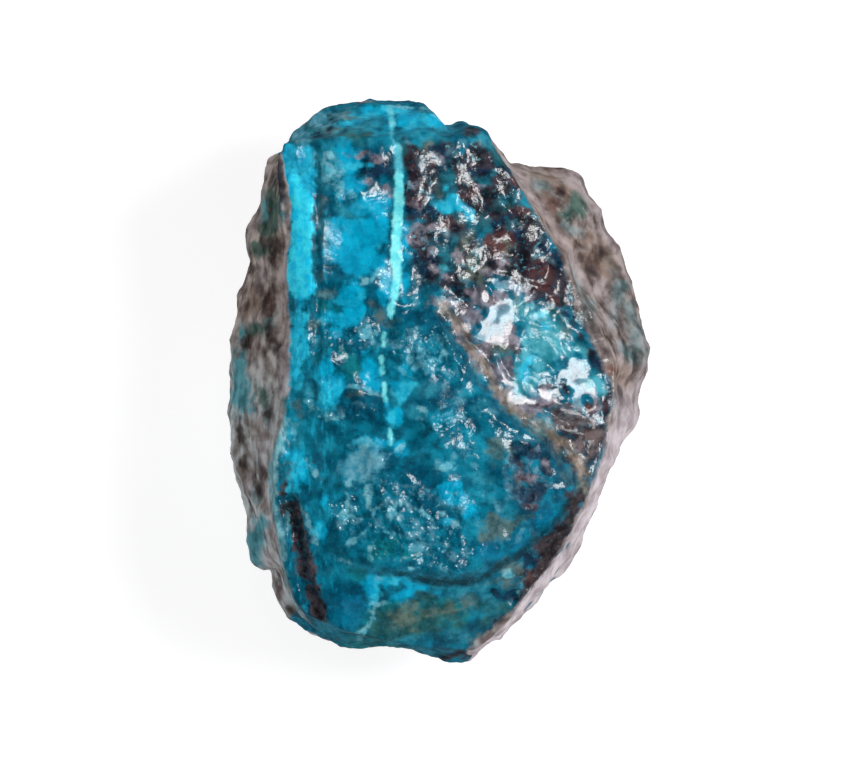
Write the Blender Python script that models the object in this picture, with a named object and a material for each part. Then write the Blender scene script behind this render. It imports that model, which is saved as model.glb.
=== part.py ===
"""A rough chrysocolla stone, built as one closed solid that lies on its broken underside.

The stone is a sphere primitive whose vertices are moved on to the stone's own surface. That surface
is read by bearing and by level: the upper face, the flank down to the widest outline, the undercut
below it and the base. Lumps, ledges, grooves and dents are then raised along its normals.

Blender works in metres. The sizes below are real ones in millimetres, which MM turns to metres.
The origin is under the middle of the stone, on the surface it rests on: +X right across the face,
+Y along the blue vein, +Z up.
"""

import itertools
import math

import bmesh
import bpy
import numpy as np

MM = 0.001

# Driving dimensions, in millimetres.
LENGTH = 62.0
WIDTH = 46.6
HEIGHT = 31.0
TRIANGLES = 9400  # of the finished solid

NAME = "chrysocolla_stone"

# The widest outline seen from above, as corners joined by a smooth closed line.
OUTLINE = (
    (-9.8, 30.9), (-3.0, 30.9), (-1.4, 30.2), (0.1, 28.2), (3.0, 28.4), (4.3, 27.7), (6.7, 25.2),
    (10.0, 23.6), (14.0, 23.1), (16.2, 20.9), (17.5, 18.9), (19.0, 15.0), (21.8, 8.9), (23.3, 2.3),
    (21.9, -1.5), (21.7, -4.3), (19.9, -7.3), (18.0, -12.2), (15.9, -16.9), (14.0, -20.6),
    (11.1, -23.8), (7.3, -27.9), (5.8, -28.6), (4.7, -30.1), (3.0, -31.0), (0.1, -30.8),
    (-4.3, -29.4), (-10.3, -29.1), (-13.6, -28.5), (-18.0, -25.0), (-18.7, -21.2), (-19.9, -20.9),
    (-21.2, -19.7), (-21.4, -14.2), (-22.8, -8.7), (-23.2, -3.2), (-23.1, 2.3), (-20.6, 15.5),
    (-18.9, 22.4), (-17.9, 25.0), (-16.0, 26.7), (-15.0, 28.3),
)

# The edge where the upper face breaks over into the flanks.
FACE_EDGE = (
    (-15.3, 26.2), (-5.9, 26.7), (-1.5, 27.3), (0.7, 26.7), (2.9, 27.2), (6.7, 23.8), (11.7, 16.1),
    (16.1, 7.8), (18.3, 3.4), (19.1, -0.4), (17.7, -7.6), (15.0, -15.3), (10.0, -22.4),
    (5.1, -28.5), (1.8, -29.6), (-7.6, -28.1), (-14.7, -25.2), (-17.2, -18.6), (-18.0, -9.8),
    (-16.7, 0.1), (-16.8, 13.3), (-17.5, 24.3),
)

# The outline of the underside before its edges are broken off.
FOOT = (
    (20.5, 1.5), (17.5, 14.0), (10.0, 21.5), (-1.0, 26.5), (-13.0, 24.5), (-19.0, 13.0), (-20.5, -2.0),
    (-18.5, -18.0), (-9.0, -26.5), (3.0, -27.5), (11.5, -20.5), (17.5, -9.0),
)
# The planes that its edges are broken off along: a bearing from +X and a lean outwards from upright, in
# degrees, and how far from the middle each meets the resting plane.
UNDER_PLANES = (
    (10.0, 28.0, 17.8), (47.0, 36.0, 18.2), (84.0, 24.0, 23.2), (119.0, 34.0, 21.4), (153.0, 22.0, 20.6),
    (190.0, 32.0, 15.6), (222.0, 26.0, 21.8), (254.0, 36.0, 21.2), (286.0, 22.0, 26.0), (316.0, 39.0, 17.0),
    (344.0, 18.0, 18.6),
)

# The height of the widest outline at bearings in degrees from +X.
RIM_BEARINGS = (0, 45, 90, 135, 180, 225, 270, 315, 360)
RIM_HEIGHTS = (9.5, 12.0, 17.0, 16.0, 12.5, 14.0, 12.5, 8.5, 9.5)
# The hollow and the swell beyond it that run along the right flank: bearings, and their depth.
SWELL_BEARINGS, SWELL_DEPTH = (10.0, 34.0, 55.0, 78.0), 0.9

# The planes that the upper face is broken along: a point (x, y, z) on each, its rise along X and Y.
FACE_PLANES = (
    ((0.0, -4.0, 30.9), (0.01, 0.00)),  # crown, nearly level
    ((-4.0, 18.0, 29.6), (0.04, -0.12)),  # upper field
    ((0.0, 26.8, 28.6), (0.00, -1.10)),  # bevel along the top edge
    ((6.5, 3.0, 29.9), (-0.34, -0.06)),  # right shoulder
    ((7.0, 17.0, 28.6), (-0.28, -0.16)),  # dark field above it
    ((0.0, -19.0, 30.1), (-0.04, 0.16)),  # lower field
    ((2.0, -23.5, 28.6), (-0.10, 0.62)),  # facet along the bottom edge
    ((-14.0, 0.0, 30.0), (0.22, 0.02)),  # left shoulder
    ((-14.5, -21.0, 27.8), (0.38, 0.34)),  # lower left corner
    ((13.0, -13.0, 28.2), (-0.42, 0.20)),  # lower right shoulder
)
PLANE_BLEND = 2.2  # per millimetre: how sharply two planes meet

# The raised glassy lobe on the face, the shoulder of small lumps beside it, and their relief.
LOBE = (
    (-4.3, 6.9), (-2.6, 8.2), (-1.0, 8.2), (0.2, 7.2), (3.2, 2.5), (7.3, -3.0), (12.0, -6.3),
    (14.7, -10.7), (15.3, -13.1), (12.9, -17.5), (7.3, -20.9), (1.2, -22.3), (-4.8, -21.7),
    (-11.4, -19.7), (-14.7, -13.1), (-14.7, -8.7), (-12.0, -1.5), (-7.6, 4.0),
)
LOBE_CENTRE = (-1.0, -8.5)
LOBE_RISE = 1.5
LOBE_ROUNDING = 1.8
SHOULDER = (
    (0.1, 10.6), (4.5, 12.2), (8.9, 11.7), (12.8, 8.9), (17.5, 1.8), (18.6, -1.5), (17.2, -8.7),
    (16.1, -10.9), (12.2, -5.9), (6.7, -1.9), (2.3, 4.0),
)
SHOULDER_CENTRE = (10.0, 3.0)
SHOULDER_LUMP = 3.4
SHOULDER_RISE = 0.55

# Grooves and raised strips: the line each follows, its half width and its height.
GROOVES = (
    (((-13.2, 25.0), (-13.5, 17.7), (-13.4, 10.0), (-13.4, 4.5), (-14.0, -2.1)), 0.4, -0.7),
    (((-16.5, -13.1), (-15.6, -16.4), (-15.0, -19.7), (-14.0, -24.1), (-13.5, -26.8)), 0.8, -1.4),
    (((-16.2, 25.6), (-15.1, 19.9), (-15.0, 8.9), (-15.7, 0.7)), 1.1, 0.45),
)
PIT_CENTRE, PIT_RADIUS, PIT_DEPTH = (8.0, -23.4), 0.9, 0.9

# Broken texture: dents and lumps on the face, chips and layers on the flanks, then roughness.
DENT_SIZE, DENT_DEPTH = 6.0, 0.9
DARK_LUMP, DARK_LUMP_RISE = 4.2, 0.8
CHIP_SIZE, CHIP_DEPTH, FLANK_CHIP_DEPTH = 11.0, 1.8, 1.0
LAYERS, LAYER_LENGTH, LAYER_RELIEF = 6.0, 17.0, 0.7  # layers from the face down to the outline
SWERVE_SIZE, SWERVE = 5.0, 1.6  # how far dents, lumps and chips are pushed out of shape
GROOVE_SWERVE = 0.25  # the share of it that pushes the grooves and strips
LUMP_SIZE, LUMP_RELIEF = 9.0, 0.7
GRAIN_SIZE, GRAIN_RELIEF = 2.6, 0.3
RIM_CALM = 0.8  # share of the relief that fades out towards the widest outline
TWIST = 0.08  # radians: how far the notches of the outline wander as they run up and down
PLAIN_SHARE = 0.95  # of the outline with its notches evened out, which the undercut starts from
PLAIN_TURNS = (-0.3, -0.1, 0.1, 0.3)  # radians: the bearings over which the notches are evened out
EDGE_SHARE = 0.985  # of the outline: as far out as the edge of the face may come
FLANK_BULGE, UNDERCUT_BULGE = 1.5, 1.7  # 1 is a straight slope, and more is rounder
CORE_HEIGHT = 13.0  # of the stone's middle, which the relief points away from
BASE_SINK = 0.6  # how far the base is pushed below the resting plane before it is cut flat
FOOT_FADE = 2.0  # the height over which the relief fades out towards that plane

COLOUR = (0.02, 0.28, 0.38, 1.0)
ROUGHNESS = 0.35

FACE_LEVEL, RIM_LEVEL, FOOT_LEVEL, BASE_LEVEL = 1.0, 2.0, 3.0, 4.0
# Where the sphere's polar angle, as a share of a half turn, reaches each of those levels.
SPHERE_SHARES = (0.0, 0.44, 0.64, 0.84, 1.0)


def scatter(cell, seed):
    """A fixed number from 0 to 1 for each whole-number cell, from its coordinates mixed by large primes."""
    mixed = cell @ np.array([73856093, 19349663, 83492791]) + seed * 40503
    mixed = ((mixed ^ (mixed >> 13)) & 0xFFFFFFFF) * 1274126177
    return ((mixed ^ (mixed >> 16)) & 0xFFFFFF) / 0xFFFFFF


def noise(point, seed):
    """Smooth noise from -1 to 1: the numbers at a unit cell's eight corners, blended by smoothstep."""
    low = np.floor(point).astype(np.int64)
    share = point - low
    share = share * share * (3 - 2 * share)
    total = np.zeros(len(point))
    for corner in itertools.product((0, 1), repeat=3):
        weight = np.prod(np.where(corner, share, 1 - share), axis=1)
        total += weight * scatter(low + corner, seed)
    return 2 * total - 1


def swerved(point, seed):
    """Points pushed about by smooth noise, so that what is drawn with them is irregular."""
    return point + SWERVE * np.stack([noise(point / SWERVE_SIZE, seed + k) for k in range(3)], axis=1)


def nearest_seed(point, seed):
    """Squared distance to the nearest of a cloud of seeds, one in each unit cell at a scattered place."""
    low = np.floor(point).astype(np.int64)
    best = np.full(len(point), np.inf)
    for step in itertools.product((-1, 0, 1), repeat=3):
        cell = low + step
        place = cell + np.stack([scatter(cell, seed + k) for k in range(3)], axis=1)
        best = np.minimum(best, ((point - place) ** 2).sum(axis=1))
    return best


def smooth_step(value, low, high):
    """0 below low, 1 above high, and a smooth s-curve between them."""
    share = np.clip((value - low) / (high - low), 0, 1)
    return share * share * (3 - 2 * share)


def closed_line(points, centre=(0.0, 0.0)):
    """A smooth closed line (Catmull-Rom) through plan points, as sorted bearings and radii from a centre."""
    p = np.array(points) - centre
    before, after, beyond = (np.roll(p, shift, axis=0) for shift in (1, -1, -2))
    t = np.linspace(0, 1, 16, endpoint=False)[:, None, None]
    bend = 2 * before - 5 * p + 4 * after - beyond
    twist = 3 * (p - after) + beyond - before
    curve = p + 0.5 * t * (after - before + t * (bend + t * twist))
    x, y = curve.reshape(-1, 2).T
    bearing, radius = np.arctan2(y, x), np.hypot(x, y)
    order = np.argsort(bearing)
    return bearing[order], radius[order]


def radius_at(line, bearing):
    """The radius of a closed line at a bearing."""
    return np.interp(bearing, *line, period=math.tau)


def inside(points, centre, x, y):
    """How far inside a closed line each plan point is, along the bearing from its centre."""
    dx, dy = x - centre[0], y - centre[1]
    return radius_at(closed_line(points, centre), np.arctan2(dy, dx)) - np.hypot(dx, dy)


def line_distance(points, x, y):
    """Distance in plan to the nearest point of an open line of straight runs."""
    best = np.full(x.shape, np.inf)
    for (ax, ay), (bx, by) in itertools.pairwise(points):
        dx, dy = bx - ax, by - ay
        share = np.clip(((x - ax) * dx + (y - ay) * dy) / (dx * dx + dy * dy), 0, 1)
        best = np.minimum(best, np.hypot(x - ax - share * dx, y - ay - share * dy))
    return best


def face_height(x, y):
    """Height of the upper face: the lowest of its planes, with their meeting edges rounded."""
    heights = [z + rise_x * (x - px) + rise_y * (y - py) for (px, py, z), (rise_x, rise_y) in FACE_PLANES]
    return -np.log(sum(np.exp(-PLANE_BLEND * (h - HEIGHT)) for h in heights)) / PLANE_BLEND + HEIGHT


def broken_form(bearing, level):
    """The stone's main form at a bearing and level, as points with the share that is upper face."""
    level_turn = TWIST * np.sin(2.3 * (level - RIM_LEVEL)) * np.sin(3 * bearing + 1)
    outline = radius_at(closed_line(OUTLINE), bearing + level_turn)
    nearby = [radius_at(closed_line(OUTLINE), bearing + turn) for turn in PLAIN_TURNS]
    plain = PLAIN_SHARE * np.mean(nearby, axis=0)
    outline += (plain - outline) * smooth_step(level, RIM_LEVEL + 0.15, RIM_LEVEL + 0.6)
    edge = np.minimum(radius_at(closed_line(FACE_EDGE), bearing), EDGE_SHARE * outline)
    foot = radius_at(closed_line(FOOT), bearing)
    face, flank, undercut, base = (np.clip(level - start, 0, 1) for start in range(4))
    radius = edge * face
    direction = np.stack([np.cos(bearing), np.sin(bearing)])
    top = face_height(*(direction * radius))
    rim = np.interp(np.degrees(bearing) % 360, RIM_BEARINGS, RIM_HEIGHTS)
    radius = radius + (outline - edge) * (1 - (1 - flank) ** FLANK_BULGE)
    radius = radius - (outline - foot) * undercut**UNDERCUT_BULGE - foot * base
    height = top + (rim - top) * flank - (rim + BASE_SINK) * undercut
    on_face = 1 - smooth_step(level, FACE_LEVEL - 0.06, FACE_LEVEL + 0.12)
    return np.stack([*(direction * radius), height], axis=1), on_face


def broken_off(point, level):
    """The points that lie beyond a plane of the underside, moved square back on to it."""
    below = smooth_step(level, RIM_LEVEL + 0.02, RIM_LEVEL + 0.2)
    for bearing, lean, reach in np.radians(UNDER_PLANES) * (1, 1, math.degrees(1)):
        level_share, down_share = math.cos(lean), math.sin(lean)
        outward = np.array([math.cos(bearing) * level_share, math.sin(bearing) * level_share, -down_share])
        beyond = np.maximum(point @ outward - reach * level_share, 0)
        point = point - outward * (beyond * below)[:, None]
    return point


def face_relief(x, y):
    """Height added to the upper face by its lobe, lumps, grooves, strips, dents and pit."""
    lobe = inside(LOBE, LOBE_CENTRE, x, y)
    stands_proud = smooth_step(x - 0.25 * y, -12, -1)
    relief = LOBE_RISE * stands_proud * (smooth_step(lobe, -0.3, LOBE_ROUNDING) - 0.5)
    place = swerved(np.stack([x, y, np.zeros_like(x)], axis=1), seed=71)
    shoulder = smooth_step(inside(SHOULDER, SHOULDER_CENTRE, x, y), 0, 1.5)
    relief += shoulder * SHOULDER_RISE * (0.5 - 2 * nearest_seed(place / SHOULDER_LUMP, seed=11))
    dark = (1 - shoulder) * smooth_step(x, -5, -3) * smooth_step(y, 8, 11)
    relief += dark * DARK_LUMP_RISE * (0.5 - 2 * nearest_seed(place / DARK_LUMP, seed=17))
    dents = nearest_seed(place / DENT_SIZE + 0.4, seed=23)
    relief += (1 - shoulder) * (1 - dark) * DENT_DEPTH * (2 * dents - 0.5)
    wandered = GROOVE_SWERVE * place[:, :2].T + (1 - GROOVE_SWERVE) * np.stack([x, y])
    for line, half_width, height in GROOVES:
        relief += height * (1 - smooth_step(line_distance(line, *wandered), 0.4 * half_width, 1.5 * half_width))
    pit = np.hypot(x - PIT_CENTRE[0], y - PIT_CENTRE[1])
    return relief - PIT_DEPTH * (1 - smooth_step(pit, 0.3 * PIT_RADIUS, 1.3 * PIT_RADIUS))


def broken_relief(point, level, on_face):
    """Relief all over the stone: chips and layers on the flanks, and lumps and grain everywhere."""
    chips = np.minimum(2 * nearest_seed(swerved(point, seed=75) / CHIP_SIZE, seed=31), 1) - 1
    bed = np.column_stack([point[:, 0] / LAYER_LENGTH, point[:, 1] / LAYER_LENGTH, level * LAYERS])
    chip_depth = FLANK_CHIP_DEPTH + (CHIP_DEPTH - FLANK_CHIP_DEPTH) * smooth_step(level, 2.0, 2.5)
    relief = (1 - on_face) * (chip_depth * chips + LAYER_RELIEF * noise(bed, seed=41))
    relief += LUMP_RELIEF * (1 - 0.6 * on_face) * noise(point / LUMP_SIZE, seed=51)
    return relief + GRAIN_RELIEF * noise(point / GRAIN_SIZE, seed=61)


def stone_surface(bearing, level):
    """Points of the finished surface, in millimetres."""
    point, on_face = broken_form(bearing, level)
    point = broken_off(point, level)
    outward = (point - (0, 0, CORE_HEIGHT)) / (WIDTH / 2, LENGTH / 2, HEIGHT / 2)
    outward /= (WIDTH, LENGTH, HEIGHT)
    outward /= np.linalg.norm(outward, axis=1, keepdims=True) + 1e-9
    above_foot = smooth_step(point[:, 2], -BASE_SINK, FOOT_FADE)
    calm = 1 - RIM_CALM * smooth_step(level, 1.55, 1.85) * (1 - smooth_step(level, 2.03, 2.25))
    relief = broken_relief(point, level, on_face) * above_foot * calm
    flank = np.clip(level - FACE_LEVEL, 0, 1)
    turn = np.interp(np.degrees(bearing) % 360, SWELL_BEARINGS, (0, 1, 1, 0))
    relief -= SWELL_DEPTH * turn * np.sin(math.tau * flank)
    lifted = point + outward * relief[:, None]
    lifted[:, 2] += on_face * face_relief(point[:, 0], point[:, 1])
    return lifted


def fitted(point):
    """The points moved and scaled so that the stone fills its length, width and height exactly."""
    low, high = point.min(axis=0), point.max(axis=0)
    size = np.array([WIDTH, LENGTH, HEIGHT + BASE_SINK])
    point = (point - (low + high) / 2) * size / (high - low)
    point[:, 2] += (HEIGHT - BASE_SINK) / 2
    return point


def sphere_to_stone(mesh):
    """Moves each vertex of a unit sphere on to the stone's surface."""
    place = np.empty(3 * len(mesh.vertices))
    mesh.vertices.foreach_get("co", place)
    x, y, z = place.reshape(-1, 3).T
    bearing = np.arctan2(y, x)
    polar_share = np.arctan2(np.hypot(x, y), z) / math.pi
    level = np.interp(polar_share, SPHERE_SHARES, range(5))
    mesh.vertices.foreach_set("co", (fitted(stone_surface(bearing, level)) * MM).ravel())
    mesh.update()


def thin_out(stone):
    """Eases the surface, merges triangles where it is plain down to TRIANGLES in all, and applies both."""
    easing = stone.modifiers.new("Ease", "SMOOTH")
    easing.factor = 0.5
    easing.iterations = 2
    thinning = stone.modifiers.new("Thin out", "DECIMATE")
    thinning.ratio = TRIANGLES / len(stone.data.polygons)
    thinning.use_collapse_triangulate = True
    evaluated = stone.evaluated_get(bpy.context.evaluated_depsgraph_get())
    stone.data = bpy.data.meshes.new_from_object(evaluated)
    stone.modifiers.clear()
    stone.data.name = stone.name


def cut_base(mesh):
    """Cuts the underside off flat on the resting plane and closes it."""
    body = bmesh.new()
    body.from_mesh(mesh)
    everything = body.verts[:] + body.edges[:] + body.faces[:]
    cut = bmesh.ops.bisect_plane(
        body, geom=everything, plane_co=(0, 0, 0), plane_no=(0, 0, 1), clear_inner=True
    )
    rim = [item for item in cut["geom_cut"] if isinstance(item, bmesh.types.BMEdge)]
    bmesh.ops.contextual_create(body, geom=rim)
    bmesh.ops.recalc_face_normals(body, faces=body.faces)
    body.to_mesh(mesh)
    body.free()


def stone_material():
    material = bpy.data.materials.new("chrysocolla")
    material.use_nodes = True
    shader = material.node_tree.nodes["Principled BSDF"]
    shader.inputs["Base Color"].default_value = COLOUR
    shader.inputs["Roughness"].default_value = ROUGHNESS
    shader.inputs["Metallic"].default_value = 0.0
    return material


def build_stone():
    bpy.ops.mesh.primitive_ico_sphere_add(subdivisions=7, radius=1.0)
    stone = bpy.context.object
    stone.name = NAME
    sphere_to_stone(stone.data)
    thin_out(stone)
    cut_base(stone.data)
    stone.data.materials.append(stone_material())
    return stone


def main():
    for old in list(bpy.data.objects):
        bpy.data.objects.remove(old)
    collection = bpy.data.collections.new("chrysocolla specimen")
    bpy.context.scene.collection.children.link(collection)
    stone = build_stone()
    for home in list(stone.users_collection):
        home.objects.unlink(stone)
    collection.objects.link(stone)


main()
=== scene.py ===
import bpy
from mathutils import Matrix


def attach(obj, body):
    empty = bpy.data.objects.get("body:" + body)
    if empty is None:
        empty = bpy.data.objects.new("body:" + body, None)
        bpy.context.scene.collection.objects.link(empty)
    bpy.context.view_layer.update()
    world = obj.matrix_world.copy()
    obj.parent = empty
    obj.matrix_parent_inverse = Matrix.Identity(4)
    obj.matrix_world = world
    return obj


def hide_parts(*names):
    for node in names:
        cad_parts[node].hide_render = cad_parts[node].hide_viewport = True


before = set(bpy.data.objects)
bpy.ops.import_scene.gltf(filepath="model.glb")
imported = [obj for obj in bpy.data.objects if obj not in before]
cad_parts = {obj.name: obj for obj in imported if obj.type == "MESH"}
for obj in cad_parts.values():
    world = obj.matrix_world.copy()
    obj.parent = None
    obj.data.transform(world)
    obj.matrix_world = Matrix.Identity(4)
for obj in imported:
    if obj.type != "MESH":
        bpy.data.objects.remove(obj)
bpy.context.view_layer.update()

import itertools
import math

import bpy
import numpy as np
from mathutils import Vector

# ---------------------------------------------------------------------------------------------
# Staging: a plain white table, a camera straight overhead, a soft key light from the right and wide
# soft lights all round. Only the key light shows in the wet film, so that the face keeps its colour.

MM = 0.001


def to_linear(code):
    """An sRGB hex colour as linear RGBA: each channel through the sRGB curve's inverse."""
    parts = [int(code[k : k + 2], 16) / 255 for k in (0, 2, 4)]
    return (*(c / 12.92 if c <= 0.04045 else ((c + 0.055) / 1.055) ** 2.4 for c in parts), 1.0)


def add(tree, kind, settings=None, inputs=None):
    """Adds a shader node, sets its properties, and fills or links its inputs by name or number."""
    node = tree.nodes.new("ShaderNode" + kind)
    for name, value in (settings or {}).items():
        setattr(node, name, value)
    for key, value in (inputs or {}).items():
        if isinstance(value, bpy.types.NodeSocket):
            tree.links.new(value, node.inputs[key])
        else:
            node.inputs[key].default_value = value
    return node


CAMERA_PLACE = (-1.045 * MM, -0.99 * MM, 1062 * MM)
CAMERA_REACH, CAMERA_SPAN = 1050 * MM, 94.5 * MM
PICTURE_WIDTH, PICTURE_MIDDLE = 859, (429.5, 390.0)  # in picture elements, across and down
scene = bpy.context.scene
lens = bpy.data.cameras.new("overhead")
lens.angle = 2 * math.atan(CAMERA_SPAN / 2 / CAMERA_REACH)
camera = bpy.data.objects.new("overhead", lens)
camera.location = CAMERA_PLACE
scene.collection.objects.link(camera)
scene.camera = camera
scene.view_settings.view_transform = "Standard"

FLOOR_HALF = 1.5  # metres
FLOOR_WHITE, FLOOR_GLOW = "a8a8aa", 0.78
floor_mesh = bpy.data.meshes.new("table")
corners = [(x * FLOOR_HALF, y * FLOOR_HALF, 0.0) for x, y in ((-1, -1), (1, -1), (1, 1), (-1, 1))]
floor_mesh.from_pydata(corners, [], [(0, 1, 2, 3)])
floor = bpy.data.objects.new("table", floor_mesh)
scene.collection.objects.link(floor)
floor.visible_glossy = False  # so that the wet stone doesn't mirror the whole table
paper = bpy.data.materials.new("white paper")
paper.use_nodes = True
sheet = paper.node_tree.nodes["Principled BSDF"]
sheet.inputs["Base Color"].default_value = to_linear(FLOOR_WHITE)
sheet.inputs["Roughness"].default_value = 0.9
sheet.inputs["Specular IOR Level"].default_value = 0.0
sheet.inputs["Emission Color"].default_value = (1, 1, 1, 1)
sheet.inputs["Emission Strength"].default_value = FLOOR_GLOW
floor_mesh.materials.append(paper)

# What the stone reflects is nearly black, but for a faint glow low down in front and to the right. What
# the camera sees behind the table is pale.
GLOW_TOWARD, GLOW_LEAST, GLOW_MOST, BACKDROP = (0.62, -0.42, -0.66), 0.015, 0.12, 0.9
sky = bpy.data.worlds.new("studio")
sky.use_nodes = True
scene.world = sky
tree = sky.node_tree
direction = add(tree, "TexCoord").outputs["Generated"]
dot = {"operation": "DOT_PRODUCT"}
toward = add(tree, "VectorMath", dot, {0: direction, 1: GLOW_TOWARD}).outputs["Value"]
low = add(
    tree, "MapRange", {"interpolation_type": "SMOOTHSTEP"},
    {"Value": toward, "From Min": -0.3, "From Max": 0.9, "To Min": GLOW_LEAST, "To Max": GLOW_MOST},
).outputs[0]
seen = add(tree, "LightPath").outputs["Is Camera Ray"]
level_of_light = add(tree, "Mix", {"data_type": "FLOAT"}, {0: seen, 2: low, 3: BACKDROP}).outputs[0]
tree.links.new(level_of_light, tree.nodes["Background"].inputs["Strength"])
tree.nodes["Background"].inputs["Color"].default_value = (1, 1, 1, 1)


AIM_HEIGHT = 25 * MM  # the lamps point at this height on the stone


def softbox(name, bearing, tilt, reach, width, radiance, glossy=True):
    """A square light at a bearing from +X and a tilt from vertical, aimed at the stone."""
    lamp = bpy.data.lights.new(name, "AREA")
    lamp.size = width
    lamp.energy = radiance * math.pi * width * width
    place = Vector((
        math.sin(math.radians(tilt)) * math.cos(math.radians(bearing)),
        math.sin(math.radians(tilt)) * math.sin(math.radians(bearing)),
        math.cos(math.radians(tilt)),
    )) * reach
    holder = bpy.data.objects.new(name, lamp)
    holder.location = place + Vector((0, 0, AIM_HEIGHT))
    holder.rotation_euler = (-place).to_track_quat("-Z", "Y").to_euler()
    holder.visible_glossy = glossy
    scene.collection.objects.link(holder)
    return holder


KEY_BEARING, KEY_TILT, KEY_REACH = 14, 39, 0.7
softbox("key", KEY_BEARING, KEY_TILT, KEY_REACH, 0.24, 18.0)
softbox("fill", 120, 20, 0.9, 0.5, 1.6, glossy=False)
for side, radiance in ((0, 1.7), (90, 1.4), (180, 1.25), (270, 1.7)):
    softbox(f"side {side}", side, 62, 0.95, 0.6, radiance, glossy=False)

# ---------------------------------------------------------------------------------------------
# The stone: a rough chrysocolla, one solid piece of blue-green copper silicate in a brown matrix,
# broken by hand and wetted. It is one closed surface read by bearing and by level, made as the solid it
# stands for is, with an outline up to a millimetre off and a finer relief. It rests on its broken underside.

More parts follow.
